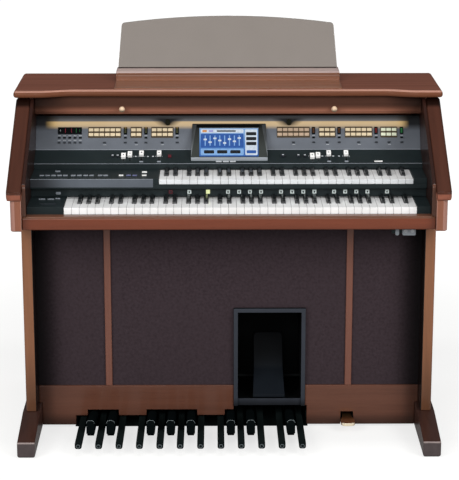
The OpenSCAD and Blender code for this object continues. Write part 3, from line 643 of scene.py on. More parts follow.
# The knobs get painted shade on their lower halves
CHAMPAGNE = Plastic("champagne_enamel_knob", "d8bb9c", 0.3, specular=0.4, gloss=0.3,
                    fades=(Fade("Z", 996, 985, 0.2),))
ZINC = Metal("zinc_plated_steel", "a9acb0", 0.32)
DARK_STEEL = Plastic("black_painted_steel", "0d0f10", 0.45, specular=0.2)
ACRYLIC = SmokedAcrylic("smoked_acrylic", "948c86", 0.03)
BLACK_ABS = Plastic("black_moulded_abs", "1d2628", 0.42, specular=0.2)
PEDAL_BLACK = Plastic("matt_pedal_plastic", "151b1b", 0.5, specular=0.0)
SHARP_BLACK = Plastic("satin_sharp_plastic", "0b1011", 0.42, specular=0.0)
# A sharp's front top edge is painted pale: a painted highlight
SHARP_EDGE_HIGHLIGHT = Plastic("painted_highlight_sharp_edge", "8f999b", 0.3)
PEDAL_RING = Plastic("grey_pedal_ring", "687174", 0.4)
# The expression box's front frame gets painted shade towards the floor
BOX_GREY = Plastic("grey_box_plastic", "343840", 0.5, specular=0.2, fades=(Fade("Z", 100, 70, 0.3),))
# Near black that stands for the shade inside the expression box and under the damper's slot: painted shade
SHADE_BLACK = Plastic("dark_box_lining", "07090a", 0.7, specular=0.08)
# The expression pedal gets painted shade over its upper part
SHOE_RUBBER = Plastic("pedal_rubber", "12171d", 0.55, grit=3.0, relief=0.15, specular=0.1,
                      fades=(Fade("Z", 135, 225, 0.25),))
# The panel's upper edge gets painted shadow from the lid
SLATE = LampLitPaint("slate_panel_paint", "5d626a", 0.45, fades=(Fade("Z", 944, 957, 0.5),))
# Pale lines along the desk's edges: painted highlights
SLATE_HIGHLIGHT = Plastic("slate_highlight_line", "868b93", 0.4)
# The left fascia gets painted shadow from the arm towards its left end
SLATE_FRONT = Plastic("slate_front", "585e66", 0.45, fades=(Fade("X", -470, -600, 0.28),))
# The display housing gets painted shade towards its top
BEZEL = Plastic("display_bezel", "2f3331", 0.45, specular=0.12, fades=(Fade("Z", 870, 930, 0.35),))
BEZEL_SIDE = Plastic("display_side", "62676a", 0.45, specular=0.12, fades=(Fade("Z", 862, 905, 0.35),))
BEZEL_BLACK = Plastic("display_black_bar", "080b0c", 0.5, specular=0.06)
BEZEL_LIP = Plastic("silver_display_lip", "8f959b", 0.35, specular=0.5)
HOLDER_DARK = Plastic("dark_lamp_holder", "1a1a12", 0.55, specular=0.06)
SCREEN = ScreenGlass("backlit_display", "2b5aa6", 0.2)
SCREEN_PALE = LitInk("display_pale_field", "cdd8e4", 0.25)
SCREEN_DEEP = LitInk("display_deep_field", "28559f", 0.25)
SCREEN_SKY = LitInk("display_sky_field", "82addf", 0.25)
SCREEN_DARK = LitInk("display_dark_tile", "0d1015", 0.25)
SCREEN_LILAC = LitInk("display_lilac_field", "9a9bd0", 0.25)
SCREEN_ORANGE = LitInk("display_orange_mark", "d08a4c", 0.25)
KEY_WHITE = Plastic("polished_white_key", "fcfcfb", 0.2, grit=40, relief=0.0, specular=0.45, gloss=0.3)
# The upper manual's key fronts are a greyer white: painted shade
KEY_END_SHADE = Plastic("shaded_white_key_end", "dde0e2", 0.35, grit=40, relief=0.0)
KEY_BLACK = Plastic("satin_black_key", "101315", 0.3, specular=0.35, gloss=0.3)
LIT_CREAM = Plastic("lit_cream_button", "cdbc9d", 0.35, glow=0.12)
LIT_ROSE = Plastic("dim_rose_button", "ab957f", 0.35, glow=0.1)
LIT_GREEN = Plastic("lit_green_button", "d2d6bd", 0.35, glow=0.12)
GROUP_BROWN = Plastic("brown_button_backing", "453826", 0.5)
PISTON_PALE = Plastic("pale_piston", "d3dedb", 0.3)
PISTON_RED = Plastic("red_piston", "5a1f28", 0.3)
PISTON_LIT = LitInk("lit_piston", "eaf2b4", 0.3)
CAP_WHITE = Plastic("white_slider_cap", "f0f0ee", 0.3, specular=0.4)
SWITCH_GREY = Plastic("grey_switch", "868c94", 0.4)
SWITCH_LILAC = Plastic("lilac_switch", "686c90", 0.4)
SWITCH_DARK = Plastic("dark_switch", "262b31", 0.4)
RECORD_RED = Plastic("red_record_key", "5c2029", 0.35)
LENS_BLACK = Plastic("black_lens", "0b0e10", 0.2, specular=0.15)
LED_RED = LitInk("red_lamp", "8a2838", 0.3)
LED_DEEP = LitInk("deep_red_lamp", "742420", 0.3)
LED_GREEN = LitInk("green_lamp", "2c6a3c", 0.3)
LED_AMBER = LitInk("amber_lamp", "b08a4c", 0.3)
LED_OLIVE = LitInk("olive_lamp", "4a4a30", 0.3)
LED_BROWN = LitInk("brown_lamp", "5c3c25", 0.3)
PRINT_WHITE = Plastic("printed_white", "b4b8bc", 0.5)
JACK_GREY = Plastic("grey_jack_box", "7f848a", 0.4)


@dataclass(frozen=True)
class Zone:
    """A box that chooses the faces whose middles lie in it, open on the sides where it has no limit."""

    x: Pair = OPEN
    y: Pair = OPEN
    z: Pair = OPEN

    def __call__(self, middle: Vector, normal: Vector) -> bool:
        """Tells whether a face's middle lies in the box."""
        return all(low < part < high for part, (low, high) in zip(middle, (self.x, self.y, self.z)))


@dataclass(frozen=True)
class Face:
    """A flat face across the organ, from its lower to its upper edge, each as (Y, Z)."""

    foot: Pair
    head: Pair

    @classmethod
    def upright(cls, y: float) -> "Face":
        """Gives the face at a depth that looks to the front, with heights along it."""
        return cls((y, 0), (y, 1))

    @classmethod
    def level(cls, z: float) -> "Face":
        """Gives the face at a height that looks up, with depths along it."""
        return cls((0, z), (1, z))

    def at(self, x: float, along: float, lift: float = 0.0) -> Matrix:
        """Gives the place of a piece that lies on the face.

        Args:
            x: Place across the organ.
            along: Place up the face from its lower edge.
            lift: Height over the face.

        Returns:
            The matrix that takes a flat piece at the origin to the face, in metres.
        """
        angle = math.atan2(self.head[1] - self.foot[1], self.head[0] - self.foot[0])
        y = self.foot[0] + along * math.cos(angle) - lift * math.sin(angle)
        z = self.foot[1] + along * math.sin(angle) + lift * math.cos(angle)
        return Matrix.Translation(Vector((x, y, z)) * MM) @ Matrix.Rotation(angle, 4, "X")


class Bench:
    """Modelling moves that the sub-assemblies share, on copies of nodes and on new pieces."""

    def __init__(self, nodes: dict[str, Piece]) -> None:
        """Keeps the frame's nodes."""
        self.nodes = nodes

    @staticmethod
    def corners(node: str) -> tuple[Vector, Vector]:
        """Gives a node's lowest and highest corners in millimetres."""
        low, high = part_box(node)
        return low / MM, high / MM

    @staticmethod
    def choose(piece: Piece) -> None:
        """Makes a piece the only selected one.

        Args:
            piece: The piece.
        """
        bpy.ops.object.select_all(action="DESELECT")
        piece.select_set(True)
        bpy.context.view_layer.objects.active = piece

    @staticmethod
    def smooth(piece: Piece) -> None:
        """Shades a piece smooth between its sharp edges, with broad faces kept flat.

        Args:
            piece: The piece.
        """
        Bench.choose(piece)
        bpy.ops.object.shade_smooth_by_angle(angle=CREASE_ANGLE)
        weights = piece.modifiers.new("flat_faces", "WEIGHTED_NORMAL")
        weights.keep_sharp = True
        bpy.ops.object.modifier_apply(modifier=weights.name)

    def soften(self, node: str, edge: float, segments: int = 2,
               corners: tuple[float, Test] | None = None) -> Piece:
        """Copies a node and rounds its sharp edges.

        Args:
            node: Name of the node.
            edge: Width of the rounding.
            segments: Faces across the rounding.
            corners: Radius of edges that are rounded wider before the others, and the test that finds them.

        Returns:
            The copy, which stands where the node does.
        """
        piece = bpy.data.objects.new(f"{node}_finished", self.nodes[node].data.copy())
        bpy.context.scene.collection.objects.link(piece)
        self.choose(piece)
        bpy.ops.mesh.customdata_custom_splitnormals_clear()
        bpy.ops.object.mode_set(mode="EDIT")
        bpy.ops.mesh.select_all(action="SELECT")
        bpy.ops.mesh.remove_doubles(threshold=MERGE_GAP * MM)
        bpy.ops.mesh.dissolve_limited(angle_limit=FLAT_ANGLE)
        bpy.ops.object.mode_set(mode="OBJECT")
        if corners:
            self.round_off(piece, *corners, segments=6)
        rounding = piece.modifiers.new("rounding", "BEVEL")
        rounding.width = edge * MM
        rounding.segments = segments
        rounding.limit_method = "ANGLE"
        rounding.angle_limit = SHARP_ANGLE
        rounding.use_clamp_overlap = False
        bpy.ops.object.modifier_apply(modifier=rounding.name)
        self.smooth(piece)
        return piece

    @staticmethod
    def pick(piece: Piece, edges: Test | None = None, faces: Test | None = None) -> None:
        """Selects edges or faces in object mode, ready for edit mode.

        Args:
            piece: The piece.
            edges: Test on an edge's two ends, in metres.
            faces: Test on a face's middle and normal, in metres.
        """
        mesh = piece.data
        for group in (mesh.vertices, mesh.edges, mesh.polygons):
            group.foreach_set("select", [False] * len(group))
        bpy.context.tool_settings.mesh_select_mode = (False, edges is not None, faces is not None)
        if edges:
            for edge in mesh.edges:
                edge.select = edges(*(mesh.vertices[i].co for i in edge.vertices))
        if faces:
            for face in mesh.polygons:
                face.select = faces(face.center, face.normal)

    def round_off(self, piece: Piece, radius: float, edges: Test, segments: int = 3) -> None:
        """Rounds chosen edges of a piece.

        Args:
            piece: The piece.
            radius: Radius in millimetres.
            edges: Test on an edge's two ends, in metres.
            segments: Faces across the rounding.
        """
        self.choose(piece)
        self.pick(piece, edges=edges)
        bpy.ops.object.mode_set(mode="EDIT")
        bpy.ops.mesh.bevel(offset=radius * MM, segments=segments, affect="EDGES")
        bpy.ops.object.mode_set(mode="OBJECT")

    def sink(self, piece: Piece, rim: float, depth: float) -> None:
        """Sinks a recess into a piece's upper face.

        Args:
            piece: The piece, lying at the origin.
            rim: Width of the rim that stays round the recess.
            depth: Depth of the recess.
        """
        self.choose(piece)
        self.pick(piece, faces=lambda middle, normal: normal.z > 0.99)
        bpy.ops.object.mode_set(mode="EDIT")
        bpy.ops.mesh.inset(thickness=rim * MM)
        bpy.ops.mesh.extrude_region_move(TRANSFORM_OT_translate={"value": (0, 0, -depth * MM)})
        bpy.ops.object.mode_set(mode="OBJECT")

    def plate(self, name: str, size: Triple, corner: float, edge: float = 0.2) -> Piece:
        """Models a flat plate with round corners and a rounded rim.

        Args:
            name: Name of the piece.
            size: Width, depth and thickness.
            corner: Radius of the corners.
            edge: Radius of the upper rim.

        Returns:
            The plate, lying at the origin with its rim up.
        """
        width, depth, thick = (part * MM for part in size)
        bpy.ops.object.select_all(action="DESELECT")
        bpy.ops.mesh.primitive_cube_add(size=1, location=(0, 0, thick / 2))
        piece = bpy.context.object
        piece.name = piece.data.name = name
        piece.scale = (width, depth, thick)
        bpy.ops.object.transform_apply(location=True, rotation=True, scale=True)
        self.round_off(piece, corner, lambda a, b: abs(a.z - b.z) > thick / 2, segments=4)
        self.round_off(piece, edge, lambda a, b: min(a.z, b.z) > thick * 0.99, segments=2)
        self.smooth(piece)
        return piece

    def disc(self, name: str, radius: float, thick: float, hollow: float = 0.0, depth: float = 0.0) -> Piece:
        """Models a round cap with a rounded rim, and a recess in its face where one is asked for.

        Args:
            name: Name of the piece.
            radius: Radius of the cap.
            thick: Thickness of the cap.
            hollow: Radius of the recess.
            depth: Depth of the recess.

        Returns:
            The cap, standing at the origin with its face up.
        """
        bpy.ops.object.select_all(action="DESELECT")
        bpy.ops.mesh.primitive_cylinder_add(vertices=24, radius=radius * MM, depth=thick * MM,
                                            location=(0, 0, thick / 2 * MM))
        piece = bpy.context.object
        piece.name = piece.data.name = name
        bpy.ops.object.transform_apply(location=True, rotation=True, scale=True)
        if hollow:
            self.sink(piece, radius - hollow, depth)
        outer = radius * 0.98 * MM
        self.round_off(piece, min(radius, thick) * 0.25, lambda a, b: (
            min(a.z, b.z) > thick * 0.99 * MM and min(a.xy.length, b.xy.length) > outer), segments=2)
        self.smooth(piece)
        return piece

    def spread(self, model: Piece, places: Iterable[Matrix]) -> Piece:
        """Copies a modelled piece to its places.

        Args:
            model: The piece, modelled at the origin; it goes away.
            places: Where each copy goes.

        Returns:
            One piece that holds the copies, under the model's name.
        """
        name = model.name
        copies = []
        for place in places:
            copy = bpy.data.objects.new(name, model.data.copy())
            copy.data.transform(place)
            bpy.context.scene.collection.objects.link(copy)
            copies.append(copy)
        bpy.data.objects.remove(model)
        return self.join(name, copies)

    def join(self, name: str, parts: Sequence[Piece]) -> Piece:
        """Joins parts to one piece.

        Args:
            name: Name of the piece.
            parts: Its parts, each at the origin.

        Returns:
            The piece.
        """
        self.choose(parts[0])
        for part in parts[1:]:
            part.select_set(True)
        if len(parts) > 1:
            bpy.ops.object.join()
        parts[0].name = parts[0].data.name = name
        return parts[0]

    @staticmethod
    def dress(piece: Piece, finish: Finish, patches: Patches = ()) -> Piece:
        """Gives a piece its finish, and then the faces of each patch theirs.

        Args:
            piece: The piece.
            finish: The finish.
            patches: Other finishes, each with a test on a face's middle in millimetres and its normal.

        Returns:
            The piece.
        """
        mesh = piece.data
        mesh.materials.clear()
        mesh.polygons.foreach_set("material_index", [0] * len(mesh.polygons))
        mesh.materials.append(finish.material())
        for number, (other, faces) in enumerate(patches, 1):
            mesh.materials.append(other.material())
            for face in mesh.polygons:
                if faces(face.center / MM, face.normal):
                    face.material_index = number
        return piece

    @staticmethod
    def hand_over(piece: Piece, slot: str, *nodes: str, body: str = "cabinet") -> None:
        """Sets a piece on its body in the frame and reports it.

        Args:
            piece: The finished piece.
            slot: Not used.
            nodes: Nodes that the piece stands for.
            body: Body that carries it.
        """
        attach(piece, body)
        if nodes:
            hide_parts(*nodes)
        LOG.info("%s: %d faces on %s", piece.name, len(piece.data.polygons), body)

    def finish(self, node: str, finish: Finish, slot: str, edge: float, patches: Patches = (),
               segments: int = 2, body: str = "cabinet") -> None:
        """Rounds a node's edges, dresses it and hands it over.

        Args:
            node: Name of the node.
            finish: Its finish.
            slot: Passed on to hand_over.
            edge: Width of the rounding.
            patches: Other finishes on some of its faces.
            segments: Faces across the rounding.
            body: Body that carries it.
        """
        piece = self.dress(self.soften(node, edge, segments), finish, patches)
        self.hand_over(piece, slot, node, body=body)

    def lay(self, name: str, size: Triple, corner: float, places: Iterable[Matrix], finish: Finish,
            edge: float = 0.2, patches: Patches = (), slot: str | None = None) -> Piece:
        """Models a plate, copies it to its places, dresses it, and hands it over where it has a slot.

        Args:
            name: Name of the piece.
            size: Width, depth and thickness of one plate.
            corner: Radius of its corners.
            places: Where each plate goes.
            finish: The finish.
            edge: Radius of its upper rim.
            patches: Other finishes on some of the faces.
            slot: Given for a piece that is ready, which is then handed over.

        Returns:
            One piece that holds the plates.
        """
        piece = self.dress(self.spread(self.plate(name, size, corner, edge), places), finish, patches)
        if slot:
            self.hand_over(piece, slot)
        return piece


@dataclass
class Assembly:
    """A sub-assembly of the organ, made on the bench."""

    bench: Bench

    def build(self) -> None:
        """Builds the sub-assembly's pieces and dresses them."""
        raise NotImplementedError


def upper_edge(normal: Vector) -> bool:
    """Tells a rounded upright or upper edge of a board from its flat faces."""
    return -0.1 < normal.z < 0.97 and max(abs(part) for part in normal) < 0.97


@dataclass(frozen=True)
class Board:
    """One wooden board, with the places where its stain deepens or changes; most of these are painted shade,
    sheen or highlights.
    """

    node: str
    stain: Stain
    grain: Grain
    fades: tuple[Fade, ...] = ()
    patches: tuple[tuple[Stain, Test], ...] = ()
    coat: float = 0.5
    roughness: float = 0.4

    def veneer(self, stain: Stain) -> Veneer:
        """Gives the board's veneer in one of its stains."""
        name = f"mahogany_{self.node}_{stain.name.lower()}"
        return Veneer(name, stain.value, self.roughness, self.fades, grain=self.grain, coat=self.coat)


# The arms get painted shade on their tops above the nose, and painted shadow under the lid's overhang
ARM_FADES = (Fade("Z", 805, 811, 0.25), Fade("Y", 12, 30, 0.15))
# The cover rail gets painted shadow from the lid along its upper part, and painted shade at its ends
RAIL_FADES = (Fade("Z", 976, 1006, 0.2), Fade("X", 470, 590, 0.35, True))
# The kick rail gets painted shade towards the floor and at its ends
KICK_FADES = (Fade("Z", 55, 10, 0.42), Fade("X", 540, 590, 0.5, True))
# The legs get painted shade towards the floor
LEG_FADES = (Fade("Z", 330, 90, 0.48),)
LID_PATCHES = (
    # The edges and underside get painted shade
    (Stain.LID_EDGE_SHADE, lambda middle, normal: normal.z < 0.5),
    # The upper front rounding gets a painted highlight
    (Stain.LID_RIM_HIGHLIGHT, lambda middle, normal: middle.y < 90 and 0.3 < normal.z < 0.97),
)
# The top of the ledge is painted pale: a painted highlight where its lacquer catches the light
LEDGE_PATCHES = ((Stain.LEDGE_TOP_HIGHLIGHT, lambda middle, normal: middle.z > 1080 and normal.z > 0.3),)
# The slip's upper faces get a painted sheen
SLIP_PATCHES = ((Stain.SLIP_TOP_SHEEN, lambda middle, normal: normal.z > 0.3),)
CHEEK_PATCHES = (
    # The upright rounded corners get a painted highlight
    (Stain.CHEEK_EDGE_HIGHLIGHT, lambda middle, normal: upper_edge(normal) and abs(normal.z) < 0.3),
    # The inner linings get painted shade, less deep at their front ends
    (Stain.LINING_END_SHADE, lambda middle, normal: abs(middle.x) < 615.1),
    (Stain.LINING_SHADE, lambda middle, normal: abs(middle.x) < 615.1 and middle.y > -280),
)
FOOT_PATCHES = (
    # The fronts get a painted sheen
    (Stain.FOOT_FRONT_SHEEN, lambda middle, normal: normal.y < -0.7),
    # The upper front edges get a painted highlight
    (Stain.FOOT_EDGE_HIGHLIGHT, lambda middle, normal: middle.y < -350 and upper_edge(normal) and normal.z > 0.3),
)
# A face whose normal points away from the middle is an outer one
LEG_PATCHES = (
    # Inner faces get painted shade
    (Stain.LEG_INSIDE_SHADE, lambda middle, normal: middle.x * normal.x < -100),
    (Stain.CHEEK, lambda middle, normal: middle.x * normal.x > 500),
)


@dataclass
class Cabinet(Assembly):
    """Wooden boards: legs, cheeks, arms, feet, lid, back, rails, and the music ledge."""

    boards: tuple[Board, ...] = (
        Board("top_board", Stain.LID, Grain.ALONG_X, patches=LID_PATCHES, coat=0.12),
        Board("cover_rail", Stain.RAIL, Grain.ALONG_X, RAIL_FADES, coat=0.0),
        # The ledge's front gets painted shade towards its top
        Board("music_ledge", Stain.LEDGE, Grain.ALONG_X, (Fade("Z", 1064, 1078, 0.75),), LEDGE_PATCHES),
        # The slip's front gets painted shade towards its lower edge
        Board("key_slip", Stain.SLIP, Grain.ALONG_X, (Fade("Z", 722, 690, 0.85),), SLIP_PATCHES),
        Board("kick_rail", Stain.KICK, Grain.ALONG_X, KICK_FADES),
        *(Board(f"{side}_foot", Stain.FOOT, Grain.ALONG_Y, patches=FOOT_PATCHES) for side in SIDES),
        *(Board(f"{side}_side_panel", Stain.LEG, Grain.ALONG_Z, LEG_FADES, LEG_PATCHES) for side in SIDES),
        *(Board(f"{side}_cheek", Stain.CHEEK, Grain.ALONG_Z, patches=CHEEK_PATCHES) for side in SIDES),
        Board("back_panel", Stain.KICK, Grain.ALONG_Z),
        Board("mullions", Stain.MULLION, Grain.ALONG_Z),
        *(Board(f"{side}_arm_cap", Stain.ARM, Grain.ALONG_ARM, ARM_FADES, coat=0.2) for side in SIDES),
    )
    edge: float = 2.0
    screw_radius: float = 4.5
    screw_thick: float = 1.6
    screw_rows: tuple[float, ...] = (150, 420, 690, 960)
    screw_columns: tuple[float, ...] = (-580, -290, 0, 290, 580)

    def build(self) -> None:
        """Finishes the boards and the knobs, and screws the back on."""
        for board in self.boards:
            patches = tuple((board.veneer(stain), faces) for stain, faces in board.patches)
            self.bench.finish(board.node, board.veneer(board.stain), "wood", self.edge, patches, segments=3)
        self.add_screws()
        self.bench.finish("cover_knobs", CHAMPAGNE, "brass", edge=0.5)

    def add_screws(self) -> None:
        """Adds the screws that hold the back panel, all round its rim."""
        back = self.bench.corners("back_panel")[1].y
        # This face looks to the back, with heights downwards along it
        face = Face((back, 0), (back, -1))
        screw = self.bench.disc("back_screws", self.screw_radius, self.screw_thick,
                                hollow=self.screw_radius * 0.45, depth=1.0)
        screws = self.bench.spread(screw, [
            face.at(x, -z) for x in self.screw_columns for z in self.screw_rows
            if x in (self.screw_columns[0], self.screw_columns[-1])
            or z in (self.screw_rows[0], self.screw_rows[-1])
        ])
        self.bench.hand_over(self.bench.dress(screws, ZINC), "steel")


@dataclass
class MusicRest(Assembly):
    """Leaning panel of smoked acrylic, with round upper corners."""

    edge: float = 0.8
    corner: float = 9.0
    # The upper corners lie past this distance from the middle and this height
    corner_from: Pair = (330.0, 1195.0)

    def at_corner(self, a: Vector, b: Vector) -> bool:
        """Tells the short edges at the upper corners by their two ends."""
        side, height = (part * MM for part in self.corner_from)
        return min(abs(a.x), abs(b.x)) > side and min(a.z, b.z) > height

    def build(self) -> None:
        """Finishes the panel."""
        panel = self.bench.soften("music_rest", self.edge, corners=(self.corner, self.at_corner))
        self.bench.hand_over(self.bench.dress(panel, ACRYLIC), "acrylic", "music_rest")


@dataclass
class Grille(Assembly):
    """Cloth-covered panels between the legs."""

    edge: float = 0.8

    def build(self) -> None:
        """Finishes the panels."""
        self.bench.finish("grille_panels", GRILLE_CLOTH, "cloth", self.edge)


@dataclass
class Manuals(Assembly):
    """Two rows of keys."""

    white_edge: float = 0.9
    black_edge: float = 1.3
    # Only the upper manual's key ends stand above this height
    ends_from: float = 775.0

    def build(self) -> None:
        """Finishes both rows of both manuals."""
        # The upper manual's key fronts get a greyer white: painted shade
        ends = ((KEY_END_SHADE, lambda middle, normal: middle.z > self.ends_from and normal.y < -0.5),)
        for row in ("upper", "lower"):
            self.bench.finish(f"{row}_white_keys", KEY_WHITE, "white_keys", self.white_edge, ends)
            self.bench.finish(f"{row}_black_keys", KEY_BLACK, "black_keys", self.black_edge)


@dataclass
class ControlPanel(Assembly):
    """Lamp-lit panel with lit buttons, level meters and switches."""

    face: Face = Face(PANEL_FOOT, PANEL_HEAD)
    # Each group of buttons, as its left edge and its number of columns
    groups: tuple[tuple[float, int], ...] = (
        (-438, 6), (-305, 2), (-240, 4), (155, 6), (287, 3), (369, 5), (481, 3),
    )
    pitch: float = 17.0
    backing_rim: float = 2.0
    backing_depth: float = 36.0
    backing_along: float = 57.9
    # Each level meter, as its place across the panel and the finish of its bars
    meters: tuple[tuple[float, Finish], ...] = (
        (-323, LED_OLIVE), (-258.5, LED_OLIVE), (-160.5, LED_OLIVE),
        (268.5, LED_BROWN), (349, LED_BROWN), (465.5, LED_DEEP), (545.5, LED_GREEN),
    )
    meter_along: float = 63.0
    # In a meter, from its middle: the lowest bar, the step to each next bar, and the bright bar
    bar_foot: float = -6.0
    bar_pitch: float = 4.0
    peak_rise: float = 9.5
    lens_height: float = 2.0
    window: Pair = (-497.5, 63.5)
    # Each line in the level window, as its offset from the middle, its height and its finish
    lines: tuple[tuple[float, float, Finish], ...] = (
        (-30, 7, PRINT_WHITE), (-14, 15, LED_RED), (5, 15, LED_RED), (20, 15, LED_GREEN), (31, 9, LED_GREEN),
    )
    holders: tuple[float, ...] = (-190, 192)
    holder_along: float = 91.0
    # Places of the printed ticks up the panel, by what they stand under, and the step between the window's
    window_ticks: Pair = (32, 47.5)
    window_tick_pitch: float = 16.5
    meter_ticks: float = 47.0
    group_ticks: float = 17.0
    # The pistons between the manuals are part of the buttons' node
    button_patches: Patches = (
        (LIT_ROSE, Zone(x=(150, 260))),
        (LIT_GREEN, Zone(x=(478, INF))),
        (PISTON_PALE, Zone(y=(-INF, -100))),
        (PISTON_RED, Zone(x=(-185, -169), y=(-INF, -100))),
        (PISTON_LIT, Zone(x=(-71, -55), y=(-INF, -100))),
    )
    # Lens plates lie high on the panel; the left blocks' switches and bend bar lie below the strip
    fitting_patches: Patches = (
        (LENS_BLACK, Zone(z=(895, INF))),
        (SWITCH_GREY, Zone(z=(-INF, 825))),
        (SWITCH_LILAC, Zone(x=(-315, -275), z=(-INF, 825))),
        (CAP_WHITE, Zone(x=(-338, -320), z=(-INF, 825))),
        (CAP_WHITE, Zone(x=(-267, -249), z=(-INF, 825))),
        (SWITCH_DARK, Zone(z=(-INF, 775))),
        (RECORD_RED, Zone(x=(-191, -175), z=(826, 862))),
    )

    def build(self) -> None:
        """Finishes the panel and sets its small parts on it."""
        self.bench.finish("control_panel", SLATE, "slate_plastic", edge=0.8)
        self.bench.finish("panel_buttons", LIT_CREAM, "lit_buttons", edge=0.9, patches=self.button_patches)
        self.bench.finish("panel_fittings", SWITCH_DARK, "black_plastic", edge=0.5,
                          patches=self.fitting_patches)
        self.add_backings()
        self.add_meters()
        self.add_window()
        self.add_trim()

    def add_backings(self) -> None:
        """Adds the brown plates behind the button groups."""
        parts = []
        for left, columns in self.groups:
            width = columns * self.pitch + self.backing_rim
            place = self.face.at(left + width / 2 - self.backing_rim, self.backing_along)
            parts.append(self.bench.lay("part", (width, self.backing_depth, 1.0), 2.0, [place], GROUP_BROWN))
        self.bench.hand_over(self.bench.join("button_backings", parts), "lit_buttons")

    def add_meters(self) -> None:
        """Adds the lit bars in the level meters, with a bright one at the top of the left meters."""
        parts = []
        foot, peak = self.meter_along + self.bar_foot, self.meter_along + self.peak_rise
        for x, finish in self.meters:
            bars = [self.face.at(x, foot + self.bar_pitch * step, self.lens_height) for step in range(4)]
            parts.append(self.bench.lay("part", (6, 2.6, 0.4), 0.5, bars, finish, edge=0.1))
        peaks = [self.face.at(x, peak, self.lens_height) for x, finish in self.meters if x < 0]
        parts.append(self.bench.lay("part", (6, 1.6, 0.4), 0.5, peaks, LED_AMBER, edge=0.1))
        self.bench.hand_over(self.bench.join("meter_bars", parts), "lit_buttons")

    def add_window(self) -> None:
        """Adds the lit lines in the level window."""
        x, along = self.window
        parts = []
        for offset, height, finish in self.lines:
            place = self.face.at(x + offset, along, self.lens_height)
            parts.append(self.bench.lay("part", (1.2, height, 0.4), 0.4, [place], finish, edge=0.1))
        self.bench.hand_over(self.bench.join("level_lines", parts), "lit_buttons")

    def add_trim(self) -> None:
        """Adds the lamp holders, the pale line at the crease, which is a painted highlight, and the printed
        ticks.
        """
        bench, at = self.bench, self.face.at
        holders = [at(x, self.holder_along) for x in self.holders]
        bench.lay("lamp_holders", (15, 20, 6), 6, holders, HOLDER_DARK, edge=3, slot="black_plastic")
        # A pale line at the crease: a painted highlight
        bench.lay("crease_line", (2 * DESK_HALF, 1.6, 0.8), 0.5, [at(0, 1.0)], SLATE_HIGHLIGHT,
                  slot="slate_plastic")
        columns = [self.window[0] + self.window_tick_pitch * step for step in range(-2, 3)]
        ticks = [
            *(at(x, along) for x in columns for along in self.window_ticks),
            *(at(x, self.meter_ticks) for x, finish in self.meters),
            *(at(left + count * self.pitch / 2, self.group_ticks) for left, count in self.groups),
        ]
        bench.lay("printed_ticks", (9, 1.2, 0.15), 0.3, ticks, PRINT_WHITE, edge=0.05, slot="white_caps")


@dataclass
class SliderStrip(Assembly):
    """Black strip under the panel, with sliders in their slots."""

    face: Face = Face(STRIP_FOOT, PANEL_FOOT)
    # Each slider's place across the strip and its cap's place up it
    sliders: tuple[Pair, ...] = (
        (-327, 37), (-307, 45), (-271, 49), (-216, 49), (262, 35), (280, 39), (314, 49), (368, 49),
    )
    slot_along: float = 40.0
    tick_offset: float = 10.5
    cap_height: float = 9.0
    # Printed marks, as place across the strip and height over it: on the switches, and between the sliders
    marks: tuple[Pair, ...] = (
        (-361, 5.0), (-345, 5.0), (219, 5.0), (239, 5.0), (171, 6.0),
        (-289, 0.0), (-251, 0.0), (-235, 0.0), (294, 0.0), (328, 0.0), (346, 0.0),
    )
    wells: tuple[float, ...] = (-271, -216, 314, 368)
    well_along: float = 12.0
    # The small keys in front of the display are part of the caps' node
    cap_patches: Patches = ((PRINT_WHITE, Zone(x=(-60, 60), z=(-INF, 850))),)

    def build(self) -> None:
        """Finishes the strip, its caps, slots and lines."""
        bench, at, row = self.bench, self.face.at, self.slot_along
        bench.finish("slider_strip", BLACK_ABS, "black_plastic", edge=0.8)
        bench.finish("slider_caps", CAP_WHITE, "white_caps", edge=0.9, patches=self.cap_patches)
        slots = [at(x, row) for x, along in self.sliders]
        bench.lay("slider_slots", (4, 48, 0.4), 1.5, slots, LENS_BLACK, edge=0.1, slot="black_plastic")
        dots = bench.spread(bench.disc("cap_dots", radius=2.2, thick=0.3), [
            at(x, along, self.cap_height) for x, along in self.sliders
        ])
        bench.hand_over(bench.dress(dots, SWITCH_DARK), "black_plastic")
        wells = [at(x, self.well_along) for x in self.wells]
        bench.lay("slider_wells", (12, 7, 0.5), 2, wells, SWITCH_GREY, edge=0.1, slot="white_caps")
        ticks = [at(x + side * self.tick_offset, row) for x, along in self.sliders for side in (-1, 1)]
        bench.lay("slider_ticks", (1.2, 5, 0.3), 0.2, ticks, PRINT_WHITE, edge=0.05, slot="white_caps")
        marks = [at(x, row, lift) for x, lift in self.marks]
        bench.lay("strip_marks", (6, 4.5, 0.3), 0.8, marks, PRINT_WHITE, edge=0.05, slot="white_caps")
        # A pale line along the strip's lower edge: a painted highlight
        bench.lay("strip_line", (2 * DESK_HALF, 1.6, 0.8), 0.5, [at(0, 1.0)], SLATE_HIGHLIGHT,
                  slot="slate_plastic")


